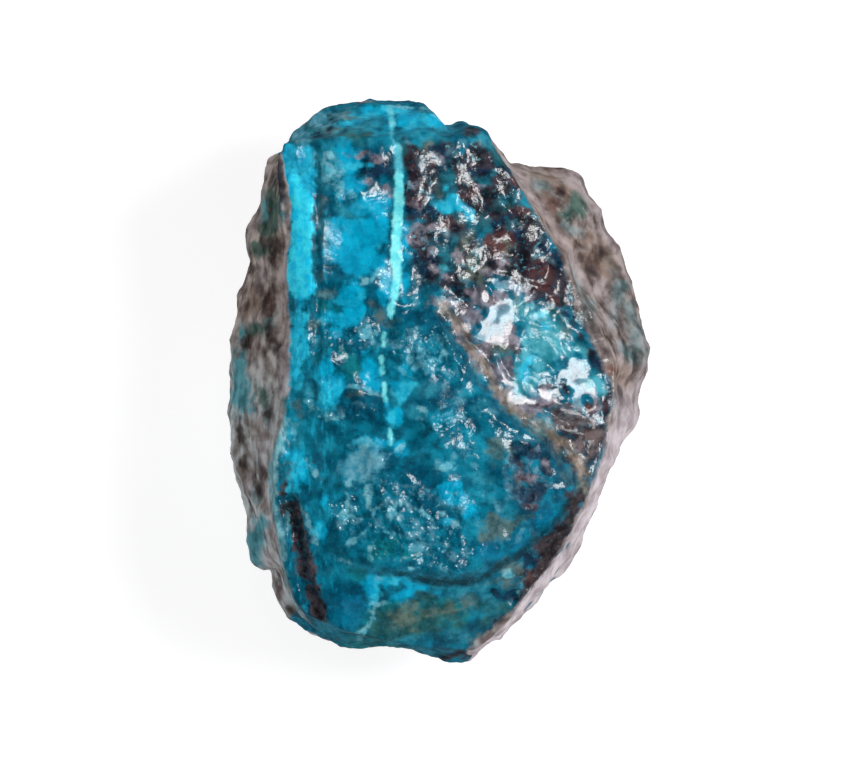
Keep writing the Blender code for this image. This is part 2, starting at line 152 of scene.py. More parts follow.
# Marks on the stone, given one by one as places in the overhead picture: across, down, the two half lengths,
# and where the mark is turned, the turn of the longer one from +X in degrees.
SEEN_SPOTS = {
    "deep": (
        (326, 205, 8, 14), (331, 216, 11, 9), (386, 241, 5, 8), (323, 233, 4, 11), (323, 268, 9, 16),
        (336, 268, 15, 9), (335, 284, 9, 7), (374, 300, 10, 15), (372, 319, 12, 5), (304, 304, 13, 7),
        (345, 346, 11, 8), (333, 364, 8, 11), (362, 350, 7, 10), (346, 393, 7, 6), (368, 397, 10, 8),
        (353, 408, 16, 12), (374, 416, 20, 9), (306, 414, 6, 6), (324, 425, 6, 9), (322, 455, 4, 9),
        (331, 460, 9, 8), (306, 491, 12, 8), (388, 462, 8, 13), (331, 531, 13, 8), (418, 314, 22, 9),
        (436, 322, 14, 9), (445, 334, 12, 8), (463, 352, 7, 12), (415, 402, 9, 5), (450, 392, 12, 11),
        (433, 405, 10, 8), (470, 425, 12, 6), (425, 480, 26, 13), (411, 468, 14, 8), (428, 505, 15, 11),
        (441, 518, 12, 10), (452, 526, 10, 9), (500, 418, 14, 8, -30), (520, 428, 12, 6, -30),
        (495, 475, 10, 9), (520, 555, 14, 4, 25), (500, 562, 10, 4, 15), (470, 577, 25, 4),
        (336, 592, 13, 8), (362, 560, 8, 4), (405, 567, 16, 5), (445, 642, 12, 7), (470, 627, 8, 8),
        (374, 163, 19, 17), (455, 135, 7, 6), (433, 175, 6, 10), (355, 500, 7, 5), (365, 525, 8, 5),
        (300, 590, 4, 9), (385, 120, 7, 7), (440, 556, 9, 5), (378, 395, 5, 6), (352, 330, 6, 5),
        (395, 455, 6, 9), (400, 505, 8, 5), (460, 560, 8, 6), (440, 395, 22, 18, -30), (470, 410, 14, 10),
        (540, 518, 30, 16, -40), (560, 480, 10, 26), (360, 600, 30, 18),
    ),
    "blue": (
        (345, 610, 24, 17), (338, 625, 14, 8), (547, 518, 9, 9), (490, 552, 16, 8), (520, 545, 8, 10),
    ),
    "teal_light": (
        (352, 112, 14, 8), (377, 113, 13, 9), (383, 137, 14, 10), (368, 139, 10, 4), (345, 128, 14, 6),
        (330, 147, 8, 7), (413, 119, 17, 12), (421, 132, 8, 10), (286, 440, 6, 13), (305, 452, 13, 10),
        (400, 371, 10, 8), (404, 388, 14, 8), (398, 400, 6, 8), (470, 391, 10, 8), (440, 420, 20, 10),
        (441, 452, 11, 8), (448, 462, 12, 10), (462, 470, 12, 9), (465, 440, 9, 14), (478, 445, 9, 10),
        (480, 497, 14, 9), (475, 530, 12, 8), (480, 560, 22, 7), (350, 575, 20, 9), (390, 565, 16, 6),
        (412, 552, 9, 8), (327, 445, 8, 9), (355, 495, 9, 6), (340, 478, 9, 6), (327, 497, 6, 6),
        (440, 140, 10, 6), (483, 460, 8, 14), (470, 610, 12, 7), (485, 615, 9, 7), (440, 620, 12, 7),
        (380, 345, 8, 5), (330, 470, 5, 4), (330, 500, 7, 5), (445, 380, 10, 6), (430, 345, 10, 6),
        (435, 365, 8, 5), (300, 430, 16, 28), (296, 470, 12, 24), (306, 500, 12, 12), (330, 520, 14, 10),
        (430, 205, 12, 10),
    ),
    "green": (
        (350, 369, 12, 11), (342, 355, 7, 7), (385, 547, 13, 9), (378, 556, 10, 5), (390, 555, 8, 5),
        (411, 552, 8, 7), (325, 305, 9, 6), (305, 465, 9, 8), (355, 575, 10, 6), (375, 612, 6, 6),
        (500, 202, 8, 10), (503, 190, 5, 6), (483, 218, 6, 8), (370, 580, 6, 6), (400, 620, 40, 16),
        (440, 612, 30, 14), (370, 650, 30, 16),
    ),
    "sky": (
        (346, 158, 9, 24), (345, 186, 9, 12), (358, 188, 7, 7), (371, 209, 17, 9), (384, 206, 7, 9),
        (350, 238, 27, 23), (374, 228, 13, 15), (360, 262, 25, 12), (345, 255, 16, 8), (378, 258, 10, 10),
        (385, 290, 6, 13), (351, 292, 13, 12), (352, 310, 11, 11), (343, 318, 15, 8), (334, 330, 7, 6),
        (322, 366, 13, 6, -67), (331, 388, 11, 15), (329, 402, 12, 6), (371, 372, 9, 15), (374, 385, 8, 6),
        (393, 415, 8, 8), (303, 471, 10, 12), (299, 457, 9, 8), (318, 532, 6, 8), (450, 490, 9, 10),
        (455, 499, 9, 7), (469, 511, 8, 6), (371, 591, 8, 15), (385, 584, 13, 5), (402, 578, 12, 5, 12),
        (420, 586, 15, 8), (404, 599, 9, 6, 20), (386, 400, 3, 4), (448, 520, 4, 3), (300, 520, 3, 10),
        (325, 500, 5, 5), (375, 445, 13, 6), (400, 450, 7, 7, -40), (411, 120, 14, 9), (388, 112, 8, 7),
        (405, 240, 3, 20), (404, 280, 4, 14), (372, 132, 5, 4), (400, 387, 9, 5), (402, 373, 7, 5),
        (437, 118, 9, 7), (368, 112, 9, 6), (350, 118, 8, 5),
    ),
    # Hazy pale blue mineral, and painted light: a paler haze painted round the glint clusters as sheen, and
    # lighter paint on the steep top bevel where it lies in shade.
    "haze": (
        (333, 110, 8, 5, 35), (306, 132, 6, 9), (345, 127, 13, 5, -15), (358, 130, 14, 7, -20),
        (370, 121, 9, 4), (363, 141, 6, 4), (321, 166, 4, 12), (324, 184, 10, 5), (352, 212, 12, 8),
        (341, 209, 5, 5), (327, 230, 5, 12), (315, 350, 6, 9), (309, 391, 8, 11), (337, 160, 3, 16),
        (430, 392, 13, 6), (423, 384, 5, 3), (462, 401, 8, 8), (486, 412, 9, 6, -20), (413, 413, 8, 7),
        (480, 480, 13, 6, -15), (493, 503, 11, 5, -25), (505, 515, 8, 6, -40), (482, 582, 13, 6),
        (461, 592, 15, 8), (492, 600, 10, 8), (465, 635, 13, 6), (445, 128, 10, 4), (430, 140, 8, 6),
        (435, 160, 6, 6), (520, 195, 7, 6, -60), (530, 205, 6, 5, -50), (535, 213, 6, 6, -50),
        (395, 630, 12, 8), (400, 640, 16, 5), (325, 630, 12, 6, -25), (430, 580, 20, 3), (520, 312, 8, 14),
        (512, 326, 4, 9), (560, 322, 9, 7, -60), (566, 338, 8, 7, -50), (575, 350, 8, 5, 40),
        (545, 372, 9, 7), (556, 368, 8, 5), (546, 420, 8, 6), (533, 428, 10, 4, -25), (500, 460, 7, 8),
        (447, 340, 12, 4, -50), (478, 375, 12, 4, -60), (455, 620, 8, 6), (420, 655, 12, 3),
        (405, 140, 6, 4), (480, 140, 8, 7, -40), (490, 150, 8, 3, -45), (302, 432, 4, 8), (325, 412, 10, 5),
        (415, 127, 6, 5), (340, 228, 5, 5), (320, 392, 3, 10), (285, 395, 3, 14), (395, 395, 4, 4),
        (325, 117, 20, 8, -25), (345, 108, 18, 7, -10), (365, 118, 14, 9), (310, 130, 10, 6, -40),
    ),
    # Pale mineral, and pale dashes painted where the wet lobe catches the key light: partly painted
    # highlight.
    "pale": (
        (331, 168, 10, 6), (331, 156, 6, 5), (337, 186, 11, 2.5, -80), (349, 197, 5, 4), (331, 178, 8, 2),
        (383, 272, 9, 7), (388, 286, 6, 4), (366, 278, 6, 3), (366, 334, 9, 6), (324, 323, 4, 3),
        (350, 386, 5, 2), (373, 390, 6, 2, -38), (332, 416, 5, 4), (311, 405, 5, 3, -35), (296, 430, 2.5, 5),
        (345, 519, 6, 5), (373, 500, 2.5, 12), (318, 468, 5, 1.5, -40), (366, 446, 13, 4, 5),
        (400, 452, 6, 3, 50), (284, 445, 1.5, 8), (365, 627, 12, 2, 60), (378, 607, 7, 2.5, 10),
        (510, 573, 5, 4), (523, 592, 6, 6), (437, 112, 8, 2, -50), (413, 107, 12, 2.5, -5), (390, 514, 6, 6),
        (425, 413, 4, 4), (302, 512, 10, 2, -80), (307, 532, 7, 2, -60), (446, 464, 8, 3, -10),
        (530, 305, 6, 2, 40), (352, 482, 5, 2, -30), (368, 489, 2, 5), (402, 505, 5, 2, 20),
        (424, 515, 5, 2, -20), (398, 560, 6, 2, 10), (372, 551, 2, 5), (358, 540, 5, 2, 30),
        (442, 512, 4, 2), (456, 523, 5, 2, -30), (405, 340, 5, 2, 20), (420, 348, 2, 4),
        (436, 358, 5, 2, -20), (410, 362, 5, 2), (447, 352, 4, 2, 30), (402, 372, 4, 2, -40),
        (348, 505, 2, 5), (384, 533, 5, 2, -20), (411, 571, 4, 2, -8),
    ),
    "dark": (
        (411, 160, 8, 20), (417, 190, 13, 20), (412, 148, 8, 7), (469, 129, 9, 7), (478, 155, 14, 7, -25),
        (468, 185, 11, 18), (487, 190, 10, 14), (474, 165, 9, 8), (500, 180, 12, 10, -45), (500, 165, 6, 6),
        (476, 205, 11, 6), (495, 215, 12, 8), (512, 215, 10, 6), (510, 228, 14, 8), (528, 222, 9, 6),
        (520, 240, 22, 11), (535, 245, 14, 9, -35), (520, 265, 32, 14), (545, 268, 16, 12),
        (540, 285, 14, 7), (560, 295, 10, 7, -60), (425, 212, 16, 7), (432, 222, 14, 6), (418, 240, 8, 12),
        (428, 256, 10, 9), (434, 272, 9, 9), (448, 284, 13, 6, -25), (461, 292, 12, 6), (463, 309, 8, 9),
        (431, 232, 10, 7), (455, 228, 10, 6), (470, 252, 8, 12), (488, 262, 10, 14), (478, 278, 10, 5),
        (496, 238, 12, 8), (500, 200, 6, 6), (487, 172, 8, 8), (448, 150, 6, 5), (460, 165, 6, 8),
        (430, 185, 5, 10), (458, 262, 5, 6), (463, 272, 9, 6), (550, 545, 13, 12), (541, 568, 12, 7, 50),
        (529, 580, 9, 5, 50), (525, 573, 7, 5), (558, 530, 8, 7), (572, 500, 12, 3, -70),
        (580, 470, 14, 3, -75), (520, 603, 6, 2, 35), (495, 625, 8, 2.5, 40), (318, 158, 3, 5),
        (328, 114, 5, 2.5, 30), (283, 500, 2.5, 14), (610, 395, 6, 7), (608, 410, 5, 12), (592, 410, 6, 6),
        (590, 435, 14, 9), (575, 440, 12, 6), (600, 437, 7, 12), (585, 418, 9, 4), (567, 408, 8, 2.5, 10),
        (570, 423, 8, 3), (558, 412, 3, 9), (545, 440, 8, 3, -30), (560, 450, 10, 7, -35),
        (575, 460, 10, 8, -60), (595, 455, 6, 10), (455, 659, 18, 4), (490, 303, 8, 6), (554, 334, 3.5, 3.5),
        (500, 345, 14, 8), (512, 336, 7, 10), (515, 352, 7, 7), (545, 390, 6, 5, 40), (550, 405, 12, 3),
        (568, 388, 4, 7), (568, 300, 14, 3, -65), (578, 330, 14, 3, -60), (590, 353, 14, 3.5, -60),
        (603, 372, 8, 3, -55), (545, 253, 10, 5, -40), (560, 275, 12, 4, -65), (530, 265, 34, 22, -40),
        (500, 245, 20, 14), (555, 290, 14, 14, -50), (478, 160, 18, 14), (500, 180, 12, 16),
        (545, 268, 22, 16, -40), (520, 225, 22, 14, -20), (455, 280, 14, 9, -20), (440, 262, 10, 9),
        (470, 292, 9, 7), (515, 250, 24, 15, -35), (495, 235, 12, 9), (535, 285, 18, 10, -40),
    ),
    "navy": (
        (372, 166, 14, 11), (386, 168, 6, 9), (362, 171, 5, 5), (317, 131, 5, 4), (327, 125, 5, 3),
        (331, 184, 4, 2.5), (441, 152, 8, 7), (446, 168, 6, 4), (482, 168, 9, 4), (486, 173, 4, 5),
        (430, 209, 14, 5), (413, 210, 7, 6), (463, 205, 8, 4, -20), (494, 225, 6, 7), (505, 220, 8, 5),
        (530, 450, 19, 8), (546, 463, 8, 12), (520, 494, 12, 9), (538, 488, 8, 10), (548, 250, 10, 5, -40),
        (560, 262, 8, 6, -50), (530, 560, 9, 8), (516, 463, 8, 5), (510, 594, 8, 6), (499, 591, 4, 4),
        (322, 600, 4, 6), (322, 615, 5, 5), (306, 541, 5, 5), (415, 256, 4, 8), (425, 270, 8, 6),
        (438, 262, 5, 6), (288, 318, 2.5, 7), (596, 362, 7, 4, -50), (287, 242, 3, 12),
        (563, 310, 5, 3, -30), (432, 255, 4, 4), (504, 437, 4, 1.2), (570, 312, 8, 2, -50),
        (310, 612, 8, 5, -40), (520, 235, 5, 4),
    ),
    "rust": (
        (497, 250, 11, 12), (508, 238, 12, 6), (487, 243, 6, 6), (545, 288, 10, 5, -35),
        (554, 298, 7, 4, -30), (512, 178, 8, 6, -50), (520, 210, 9, 5, -10), (516, 200, 6, 5, -60),
        (448, 222, 7, 6), (470, 192, 6, 5), (488, 355, 7, 5), (535, 404, 9, 3), (552, 386, 5, 5, 40),
        (592, 411, 5, 5), (525, 508, 8, 6), (522, 478, 8, 4), (530, 475, 6, 3), (528, 577, 6, 5, 40),
        (537, 545, 4, 5), (416, 200, 8, 6), (532, 270, 7, 6), (545, 270, 6, 8), (460, 240, 4, 6),
        (607, 402, 4, 4), (430, 163, 3, 8), (415, 165, 4, 10),
    ),
    "tan": (
        (379, 312, 9, 7), (385, 318, 8, 4), (325, 292, 7, 6), (316, 274, 4, 4), (312, 323, 6, 7),
        (357, 393, 6, 4), (300, 408, 3, 6), (500, 445, 9, 9), (497, 456, 6, 7), (508, 452, 6, 5),
        (495, 525, 14, 11), (490, 536, 9, 8), (513, 522, 14, 4, 5), (512, 568, 11, 8), (507, 582, 9, 5),
        (468, 601, 9, 6), (430, 615, 11, 6), (450, 610, 8, 6), (405, 622, 18, 9), (412, 612, 10, 6),
        (478, 641, 5, 4), (466, 243, 13, 5, 75), (474, 262, 4, 9), (508, 250, 3, 9), (523, 306, 8, 7),
        (562, 330, 8, 8), (500, 352, 12, 7), (485, 372, 9, 3, -60), (470, 343, 8, 4, -45), (320, 215, 2, 5),
        (321, 237, 3, 6), (323, 200, 3, 3), (291, 472, 5, 7), (287, 513, 2.5, 10), (458, 335, 8, 5, -40),
        (540, 430, 12, 6, -20), (510, 412, 9, 4, -45), (485, 278, 6, 8), (470, 270, 6, 10), (438, 190, 4, 8),
        (432, 150, 4, 8), (520, 175, 5, 2, -60), (505, 585, 4, 3), (560, 455, 8, 4, -50),
        (567, 475, 8, 4, -62), (583, 487, 10, 4, -70), (345, 112, 8, 3), (330, 128, 6, 4),
    ),
    "turquoise": (
        (545, 334, 17, 20), (555, 352, 16, 9), (541, 315, 9, 8), (530, 345, 8, 10), (521, 370, 8, 14),
        (520, 388, 8, 5), (533, 378, 10, 7), (540, 360, 12, 7), (575, 300, 14, 4, -75),
        (600, 382, 12, 5, -60), (607, 388, 6, 4, -60), (545, 422, 7, 5), (583, 350, 10, 3, -65),
        (527, 355, 7, 7), (445, 266, 6, 4), (535, 303, 5, 5), (592, 380, 8, 5, -30), (522, 308, 4, 6),
    ),
    "cyan": (
        (449, 204, 11, 7), (452, 197, 6, 7), (460, 209, 9, 5, -35), (469, 216, 7, 5, -50), (440, 203, 4, 4),
        (447, 184, 5, 4), (350, 163, 8, 2.5), (353, 150, 3, 2.5, -40), (369, 210, 4, 3), (377, 245, 3, 2.5),
        (340, 300, 7, 2.5), (339, 312, 3, 3, -50), (333, 320, 5, 2), (299, 320, 9, 7), (300, 341, 9, 10),
        (297, 356, 9, 7, 70), (295, 381, 9, 6, 70), (294, 370, 5, 6), (327, 384, 2.5, 2), (330, 401, 9, 3.5),
        (365, 443, 10, 3), (391, 441, 3.5, 4), (388, 417, 4, 7), (291, 490, 3.5, 11),
        (297, 501, 4, 2.5, -30), (316, 533, 5, 6), (358, 296, 3, 8), (352, 304, 5, 2), (404, 386, 6, 2.5),
        (452, 497, 5, 4), (463, 500, 5, 3, -50), (536, 358, 4, 5), (527, 372, 5, 6), (543, 311, 5, 4, 30),
        (548, 323, 3, 3), (534, 360, 4, 4), (398, 398, 3, 6), (378, 586, 8, 3, 10), (376, 600, 6, 3, 20),
        (396, 584, 6, 2.5, 30), (404, 111, 10, 4), (426, 121, 9, 4), (384, 107, 7, 3), (360, 112, 8, 3),
        (344, 120, 6, 3), (297, 345, 10, 16), (293, 372, 7, 16), (330, 395, 10, 14), (404, 392, 7, 10),
    ),
    # Grey-pink mineral, and pale mauve dashes painted where the dark matrix catches the light: partly painted
    # glints.
    "mauve": (
        (368, 182, 7, 3, -25), (382, 188, 6, 3, 20), (388, 191, 4, 6), (363, 154, 8, 1.8, -10),
        (375, 157, 6, 5), (413, 228, 7, 4), (415, 182, 6, 3), (430, 226, 7, 3), (412, 237, 4, 7),
        (425, 241, 7, 3, -30), (434, 250, 4, 6), (447, 232, 5, 2, -50), (445, 300, 10, 5), (455, 303, 8, 4),
        (447, 290, 4, 3), (438, 160, 8, 3, -35), (418, 203, 7, 3), (478, 188, 3, 3, -50), (505, 262, 6, 6),
        (493, 275, 7, 4), (512, 340, 9, 12), (500, 342, 12, 5), (480, 360, 7, 7, -60), (545, 396, 8, 8),
        (530, 402, 12, 6), (530, 475, 5, 2), (545, 462, 4, 5), (550, 415, 2.5, 5), (610, 440, 3, 10),
        (485, 302, 6, 11), (519, 292, 5, 7), (530, 295, 7, 5, -30), (460, 254, 5, 4, -50),
        (445, 275, 9, 3, -30), (505, 372, 9, 10), (598, 402, 4, 10), (575, 445, 10, 5),
        (462, 330, 14, 10, -50), (478, 352, 14, 9, -50), (488, 372, 14, 8, -50), (505, 395, 12, 9, -45),
        (525, 405, 14, 7, -20), (478, 300, 13, 9, -30), (470, 318, 11, 8, -40), (484, 347, 9, 8, -50),
        (502, 300, 9, 5),
    ),
    "moss": (
        (405, 624, 18, 12), (385, 620, 9, 11), (390, 632, 10, 8), (375, 615, 6, 10), (430, 605, 8, 5),
        (480, 603, 7, 6), (445, 605, 9, 6), (486, 620, 5, 8), (500, 603, 9, 6), (505, 612, 8, 5),
        (410, 155, 6, 12), (440, 220, 10, 5), (455, 222, 8, 5), (480, 150, 7, 6), (525, 215, 8, 7, -50),
        (535, 225, 7, 6, -50), (555, 310, 6, 4, -30), (585, 445, 8, 5), (550, 440, 9, 5, -30),
        (505, 205, 9, 9), (362, 135, 8, 5), (425, 150, 6, 8), (500, 155, 8, 3, -40), (425, 600, 10, 4),
        (375, 625, 10, 5), (318, 122, 14, 7, -30), (305, 135, 8, 6), (340, 110, 10, 4),
        (352, 135, 14, 6, -10), (420, 626, 30, 12), (385, 628, 24, 11), (452, 616, 18, 9),
    ),
    # Frosted pale mineral on the lobe; the last three, on the steep top bevel, are painted light that lifts
    # the shade of that slope.
    "frost": (
        (356, 466, 15, 11), (371, 458, 13, 12), (362, 472, 14, 6), (318, 118, 18, 8, -30),
        (300, 132, 10, 7, -40), (336, 108, 14, 6),
    ),
    "umber": (
        (570, 420, 20, 12, -30), (588, 435, 20, 14, -70), (583, 465, 16, 9, -70), (560, 440, 12, 8, -30),
    ),
    "matt": (
        (526, 478, 28, 34), (545, 515, 26, 18, -40), (442, 402, 20, 24), (470, 405, 16, 12),
    ),
    "curls": (
        (410, 525, 50, 30), (450, 555, 28, 18), (355, 518, 28, 20), (385, 505, 20, 24), (455, 500, 22, 14),
        (400, 345, 34, 16), (430, 360, 22, 12), (345, 340, 26, 14), (350, 415, 20, 12),
        (450, 350, 24, 24, -40), (362, 338, 26, 14), (445, 425, 20, 12), (385, 545, 30, 14),
    ),
    "dim_teal": (
        (447, 176, 8, 9), (448, 186, 9, 6), (453, 245, 9, 5, 60), (448, 258, 7, 9), (480, 222, 6, 7),
        (470, 225, 5, 4), (500, 200, 5, 6), (484, 180, 9, 5, -50), (494, 168, 6, 3, 15), (476, 176, 4, 3),
        (485, 228, 4, 4), (512, 224, 6, 4), (462, 216, 7, 6),
    ),
    "dusk": (
        (440, 168, 24, 28), (482, 190, 28, 36), (520, 240, 34, 26, -35), (450, 245, 28, 24),
        (490, 262, 28, 22), (545, 285, 20, 14), (425, 270, 16, 22),
    ),
    "band_bits": (
        (296, 345, 9, 15), (293, 368, 6, 12), (332, 392, 9, 12), (300, 470, 6, 14), (303, 318, 8, 7),
    ),
    # Glints: the places of small flat faces that mirror the key light, which are also painted pale there as a
    # painted highlight.
    "glints": (
        (327, 290, 3, 2), (321, 294, 3, 2), (334, 333, 4, 3), (350, 341, 3, 2), (362, 324, 4, 3),
        (356, 329, 5, 2.5), (368, 345, 4, 2.5), (386, 340, 3, 6), (393, 337, 2.5, 3), (373, 343, 5, 3),
        (343, 415, 4, 3.5), (363, 407, 4, 3), (353, 512, 4, 4), (346, 518, 5, 4), (355, 521, 4, 4),
        (335, 513, 3, 2), (340, 527, 4, 3), (376, 524, 4, 5), (386, 504, 5, 4), (390, 513, 4, 5),
        (398, 520, 5, 5), (412, 512, 5, 2, -40), (416, 527, 3, 5), (420, 531, 6, 2), (431, 530, 3.5, 6),
        (418, 544, 12, 3.5), (412, 537, 7, 2.5), (428, 553, 4, 3), (421, 560, 5, 3.5), (433, 565, 3, 3),
        (446, 544, 5, 4, -50), (452, 554, 5, 3), (461, 560, 4, 3.5, -40), (448, 567, 5, 2.5),
        (464, 551, 2.5, 4), (519, 538, 3, 3), (522, 531, 3, 2), (348, 564, 4, 3), (341, 562, 4, 2.5),
        (378, 583, 4, 3.5), (440, 457, 4, 3), (438, 463, 2.5, 6), (446, 465, 6, 2.5, -10),
        (475, 467, 6, 4, -20), (462, 443, 5, 2, -40), (466, 450, 2.5, 3), (464, 455, 2, 2),
        (466, 459, 2.5, 2), (455, 457, 3, 2), (423, 422, 4, 1.8), (475, 405, 3, 2), (480, 408, 3, 2),
        (492, 415, 3, 2), (462, 419, 3.5, 3), (453, 424, 3, 4), (473, 425, 2.5, 2), (457, 401, 4, 3),
        (464, 407, 2, 5), (463, 500, 5, 4, -50), (461, 508, 4.5, 4), (447, 504, 8, 2, -35),
        (497, 508, 4, 4, -50), (393, 487, 2.5, 8), (403, 495, 11, 2, -8), (404, 487, 2, 2),
        (410, 489, 4, 1.8), (430, 491, 3, 2.2), (508, 436, 6, 3), (507, 440, 7, 2), (530, 439, 9, 1.6),
        (515, 490, 6, 2.2, 30), (510, 489, 4, 3), (506, 501, 4, 2.5), (533, 468, 2.5, 2),
        (556, 486, 4, 2.5, -40), (405, 334, 6, 2), (413, 331, 6, 4), (415, 337, 6, 4, 60),
        (399, 346, 6, 2.5), (411, 351, 4, 3.5), (427, 340, 5, 2), (439, 339, 4, 2.5),
        (443, 342, 3, 1.8, -40), (429, 351, 4, 2.5), (425, 357, 4, 2.5, 60), (423, 365, 3, 3.5),
        (432, 368, 3.5, 2.5), (447, 371, 10, 2.5, -8), (437, 379, 5, 2.5, -35), (445, 385, 4, 1.8, -30),
        (426, 374, 3, 2.5), (413, 369, 3, 2.5), (391, 441, 3, 3.5), (370, 372, 2, 2), (540, 420, 4, 1.5),
        (550, 425, 5, 2.5, -30), (463, 142, 4, 2.5), (452, 152, 4, 2.5), (462, 156, 4, 2, -50),
        (438, 160, 6, 2.5, -35), (423, 189, 3, 2.2), (412, 185, 3, 2), (409, 190, 2.2, 2.2),
        (513, 224, 4, 2.5), (524, 249, 4, 2.2), (538, 249, 3.5, 2.5, -60), (541, 257, 4.5, 3, 10),
        (554, 263, 4, 2, -45), (447, 232, 5, 1.8, -50), (424, 240, 6, 2.2, -30), (434, 253, 3, 4),
        (412, 228, 5, 3), (430, 227, 5, 1.8), (430, 295, 2.5, 5), (418, 298, 3.5, 5), (466, 278, 6, 3, -20),
        (463, 262, 4, 2.5, -40), (447, 290, 3.5, 2.5), (452, 303, 6, 3), (445, 299, 5, 2.5),
        (462, 299, 3, 2), (476, 254, 3, 2.5), (519, 293, 3, 5), (526, 297, 5, 3, 20), (536, 314, 5, 4, 20),
        (543, 311, 4, 4, 30), (569, 349, 2.5, 4), (536, 358, 3.5, 3.5), (548, 323, 3, 2), (481, 144, 4, 2.5),
        (410, 140, 2, 2), (505, 262, 4, 4), (549, 419, 3, 2.5),
    ),
    "beads": (
        (420, 345, 30, 26), (410, 520, 45, 28), (450, 555, 28, 18), (460, 415, 30, 18), (355, 518, 28, 18),
        (360, 335, 22, 16), (440, 295, 28, 14), (425, 240, 26, 20), (465, 150, 25, 15), (420, 190, 18, 20),
        (535, 255, 28, 14), (340, 415, 24, 14), (505, 200, 15, 14), (512, 228, 14, 9), (470, 265, 14, 16),
        (385, 505, 18, 22), (455, 500, 20, 14), (440, 165, 14, 12),
    ),
    "flank_brown": (
        (255, 298, 8, 16), (264, 306, 8, 20), (243, 310, 6, 12), (556, 187, 14, 9, -20), (566, 196, 9, 9),
        (545, 178, 18, 6, -12), (616, 368, 14, 6, -55), (626, 384, 7, 7), (612, 268, 7, 7),
        (585, 258, 16, 4, -62), (575, 244, 8, 4, -60), (252, 350, 8, 6), (260, 430, 8, 10),
        (248, 470, 5, 12), (262, 500, 5, 12), (276, 582, 6, 12), (590, 240, 10, 8, -60),
        (600, 256, 10, 4, -62), (278, 240, 8, 12), (545, 210, 20, 12, -55), (560, 240, 22, 10, -60),
        (600, 260, 18, 14, -60), (625, 375, 8, 14), (556, 222, 16, 12, -50),
    ),
    "flank_dark": (
        (283, 188, 4, 16), (280, 245, 8, 9), (253, 268, 6, 8), (271, 286, 5, 14), (269, 258, 4, 18),
        (268, 408, 4, 8), (241, 432, 5, 13), (245, 460, 4, 11), (256, 489, 3.5, 13), (270, 386, 4, 8),
        (247, 346, 7, 7), (268, 330, 4, 22), (262, 470, 3.5, 12), (276, 580, 4, 8), (290, 612, 9, 4, -40),
        (585, 256, 14, 2.5, -62), (596, 249, 9, 2.5, -60), (628, 334, 20, 2.5, -68), (620, 308, 8, 2.5, -60),
        (593, 330, 20, 2, -62), (240, 232, 2, 6), (270, 240, 6, 8), (307, 630, 8, 4, -45), (557, 189, 7, 6),
        (600, 395, 8, 5, -50), (622, 402, 9, 3, -70), (280, 345, 2, 10), (265, 300, 4, 12),
    ),
    "flank_green": (
        (272, 212, 11, 24), (276, 196, 7, 12), (270, 230, 8, 10), (575, 205, 10, 10), (568, 217, 7, 6),
        (586, 210, 5, 6), (262, 250, 8, 8), (255, 330, 10, 8), (262, 393, 7, 10), (264, 215, 7, 14),
    ),
    "flank_teal": (
        (241, 385, 8, 28), (254, 543, 9, 22), (258, 524, 10, 8), (293, 580, 20, 7, -65),
        (298, 600, 10, 6, -60), (262, 210, 5, 6), (284, 215, 3, 8), (254, 546, 12, 24), (258, 526, 11, 9),
        (240, 385, 11, 30),
    ),
    "flank_rust": (
        (552, 201, 9, 5, -60), (547, 196, 4, 5), (612, 370, 6, 4, -50), (270, 300, 3, 8), (555, 206, 5, 6),
    ),
    "flank_pale": (
        (583, 191, 15, 5, -48), (575, 183, 12, 4, -35), (600, 212, 10, 8, -60), (262, 277, 3.5, 10),
        (256, 317, 7, 2, 38), (254, 358, 8, 2, 75), (285, 300, 3, 30), (283, 360, 3, 30),
        (263, 183, 20, 4, 75), (252, 222, 12, 4, 75), (605, 235, 14, 6, -62), (590, 328, 20, 4, -62),
        (603, 300, 16, 3, -70), (626, 408, 18, 10, -75), (600, 455, 22, 7, -62), (577, 500, 30, 7, -58),
        (548, 555, 30, 8, -50), (515, 605, 28, 8, -45), (488, 640, 12, 7, -50), (620, 430, 12, 8, -70),
        (270, 560, 5, 10), (280, 590, 4, 12), (265, 470, 6, 20), (262, 440, 3, 14), (250, 485, 4, 10),
        (270, 430, 3, 20), (272, 530, 5, 18), (246, 250, 3, 14), (638, 390, 16, 6, -70),
    ),
    "flank_dim": (
        (570, 228, 8, 5, -20), (582, 300, 20, 4, -72), (617, 300, 8, 10), (629, 311, 14, 6, -68),
        (640, 335, 20, 7, -75), (618, 285, 8, 6), (610, 310, 12, 4, -66), (578, 285, 12, 3, -75),
        (630, 350, 12, 8, -60), (545, 190, 14, 6, -30),
    ),
}
# Broad wet faces on the shoulder, each of several overlapping patches.
SEEN_GLARE = (
    (
        (500, 322, 15, 21), (494, 334, 17, 11), (508, 314, 8, 20), (480, 336, 9, 6), (484, 322, 6, 6),
    ),
    (
        (503, 285, 11, 7), (492, 280, 9, 5), (485, 297, 6, 10),
    ),
    (
        (466, 327, 6, 6), (461, 322, 4, 4),
    ),
    (
        (578, 378, 13, 13, -50), (575, 364, 9, 8, -70), (590, 387, 8, 10), (566, 374, 8, 6),
        (578, 396, 6, 12),
    ),
    (
        (576, 402, 6, 8), (582, 408, 5, 6),
    ),
    (
        (512, 388, 11, 7, -50), (504, 377, 9, 3.5, -65), (508, 395, 9, 5, -55), (498, 366, 9, 2.5, -70),
    ),
    (
        (520, 400, 10, 6), (532, 403, 6, 4),
    ),
    (
        (530, 388, 8, 5, -60), (534, 392, 4, 4),
    ),
    (
        (546, 394, 7, 8), (556, 392, 6, 5), (562, 398, 5, 4),
    ),
    (
        (572, 413, 11, 3.4, -14), (563, 409, 5, 3),
    ),
    (
        (572, 432, 12, 3.2, -10), (563, 428, 4, 4),
    ),
    (
        (598, 419, 8, 3, -45),
    ),
    (
        (596, 400, 3.5, 8),
    ),
    (
        (484, 366, 7, 3, -70),
    ),
)
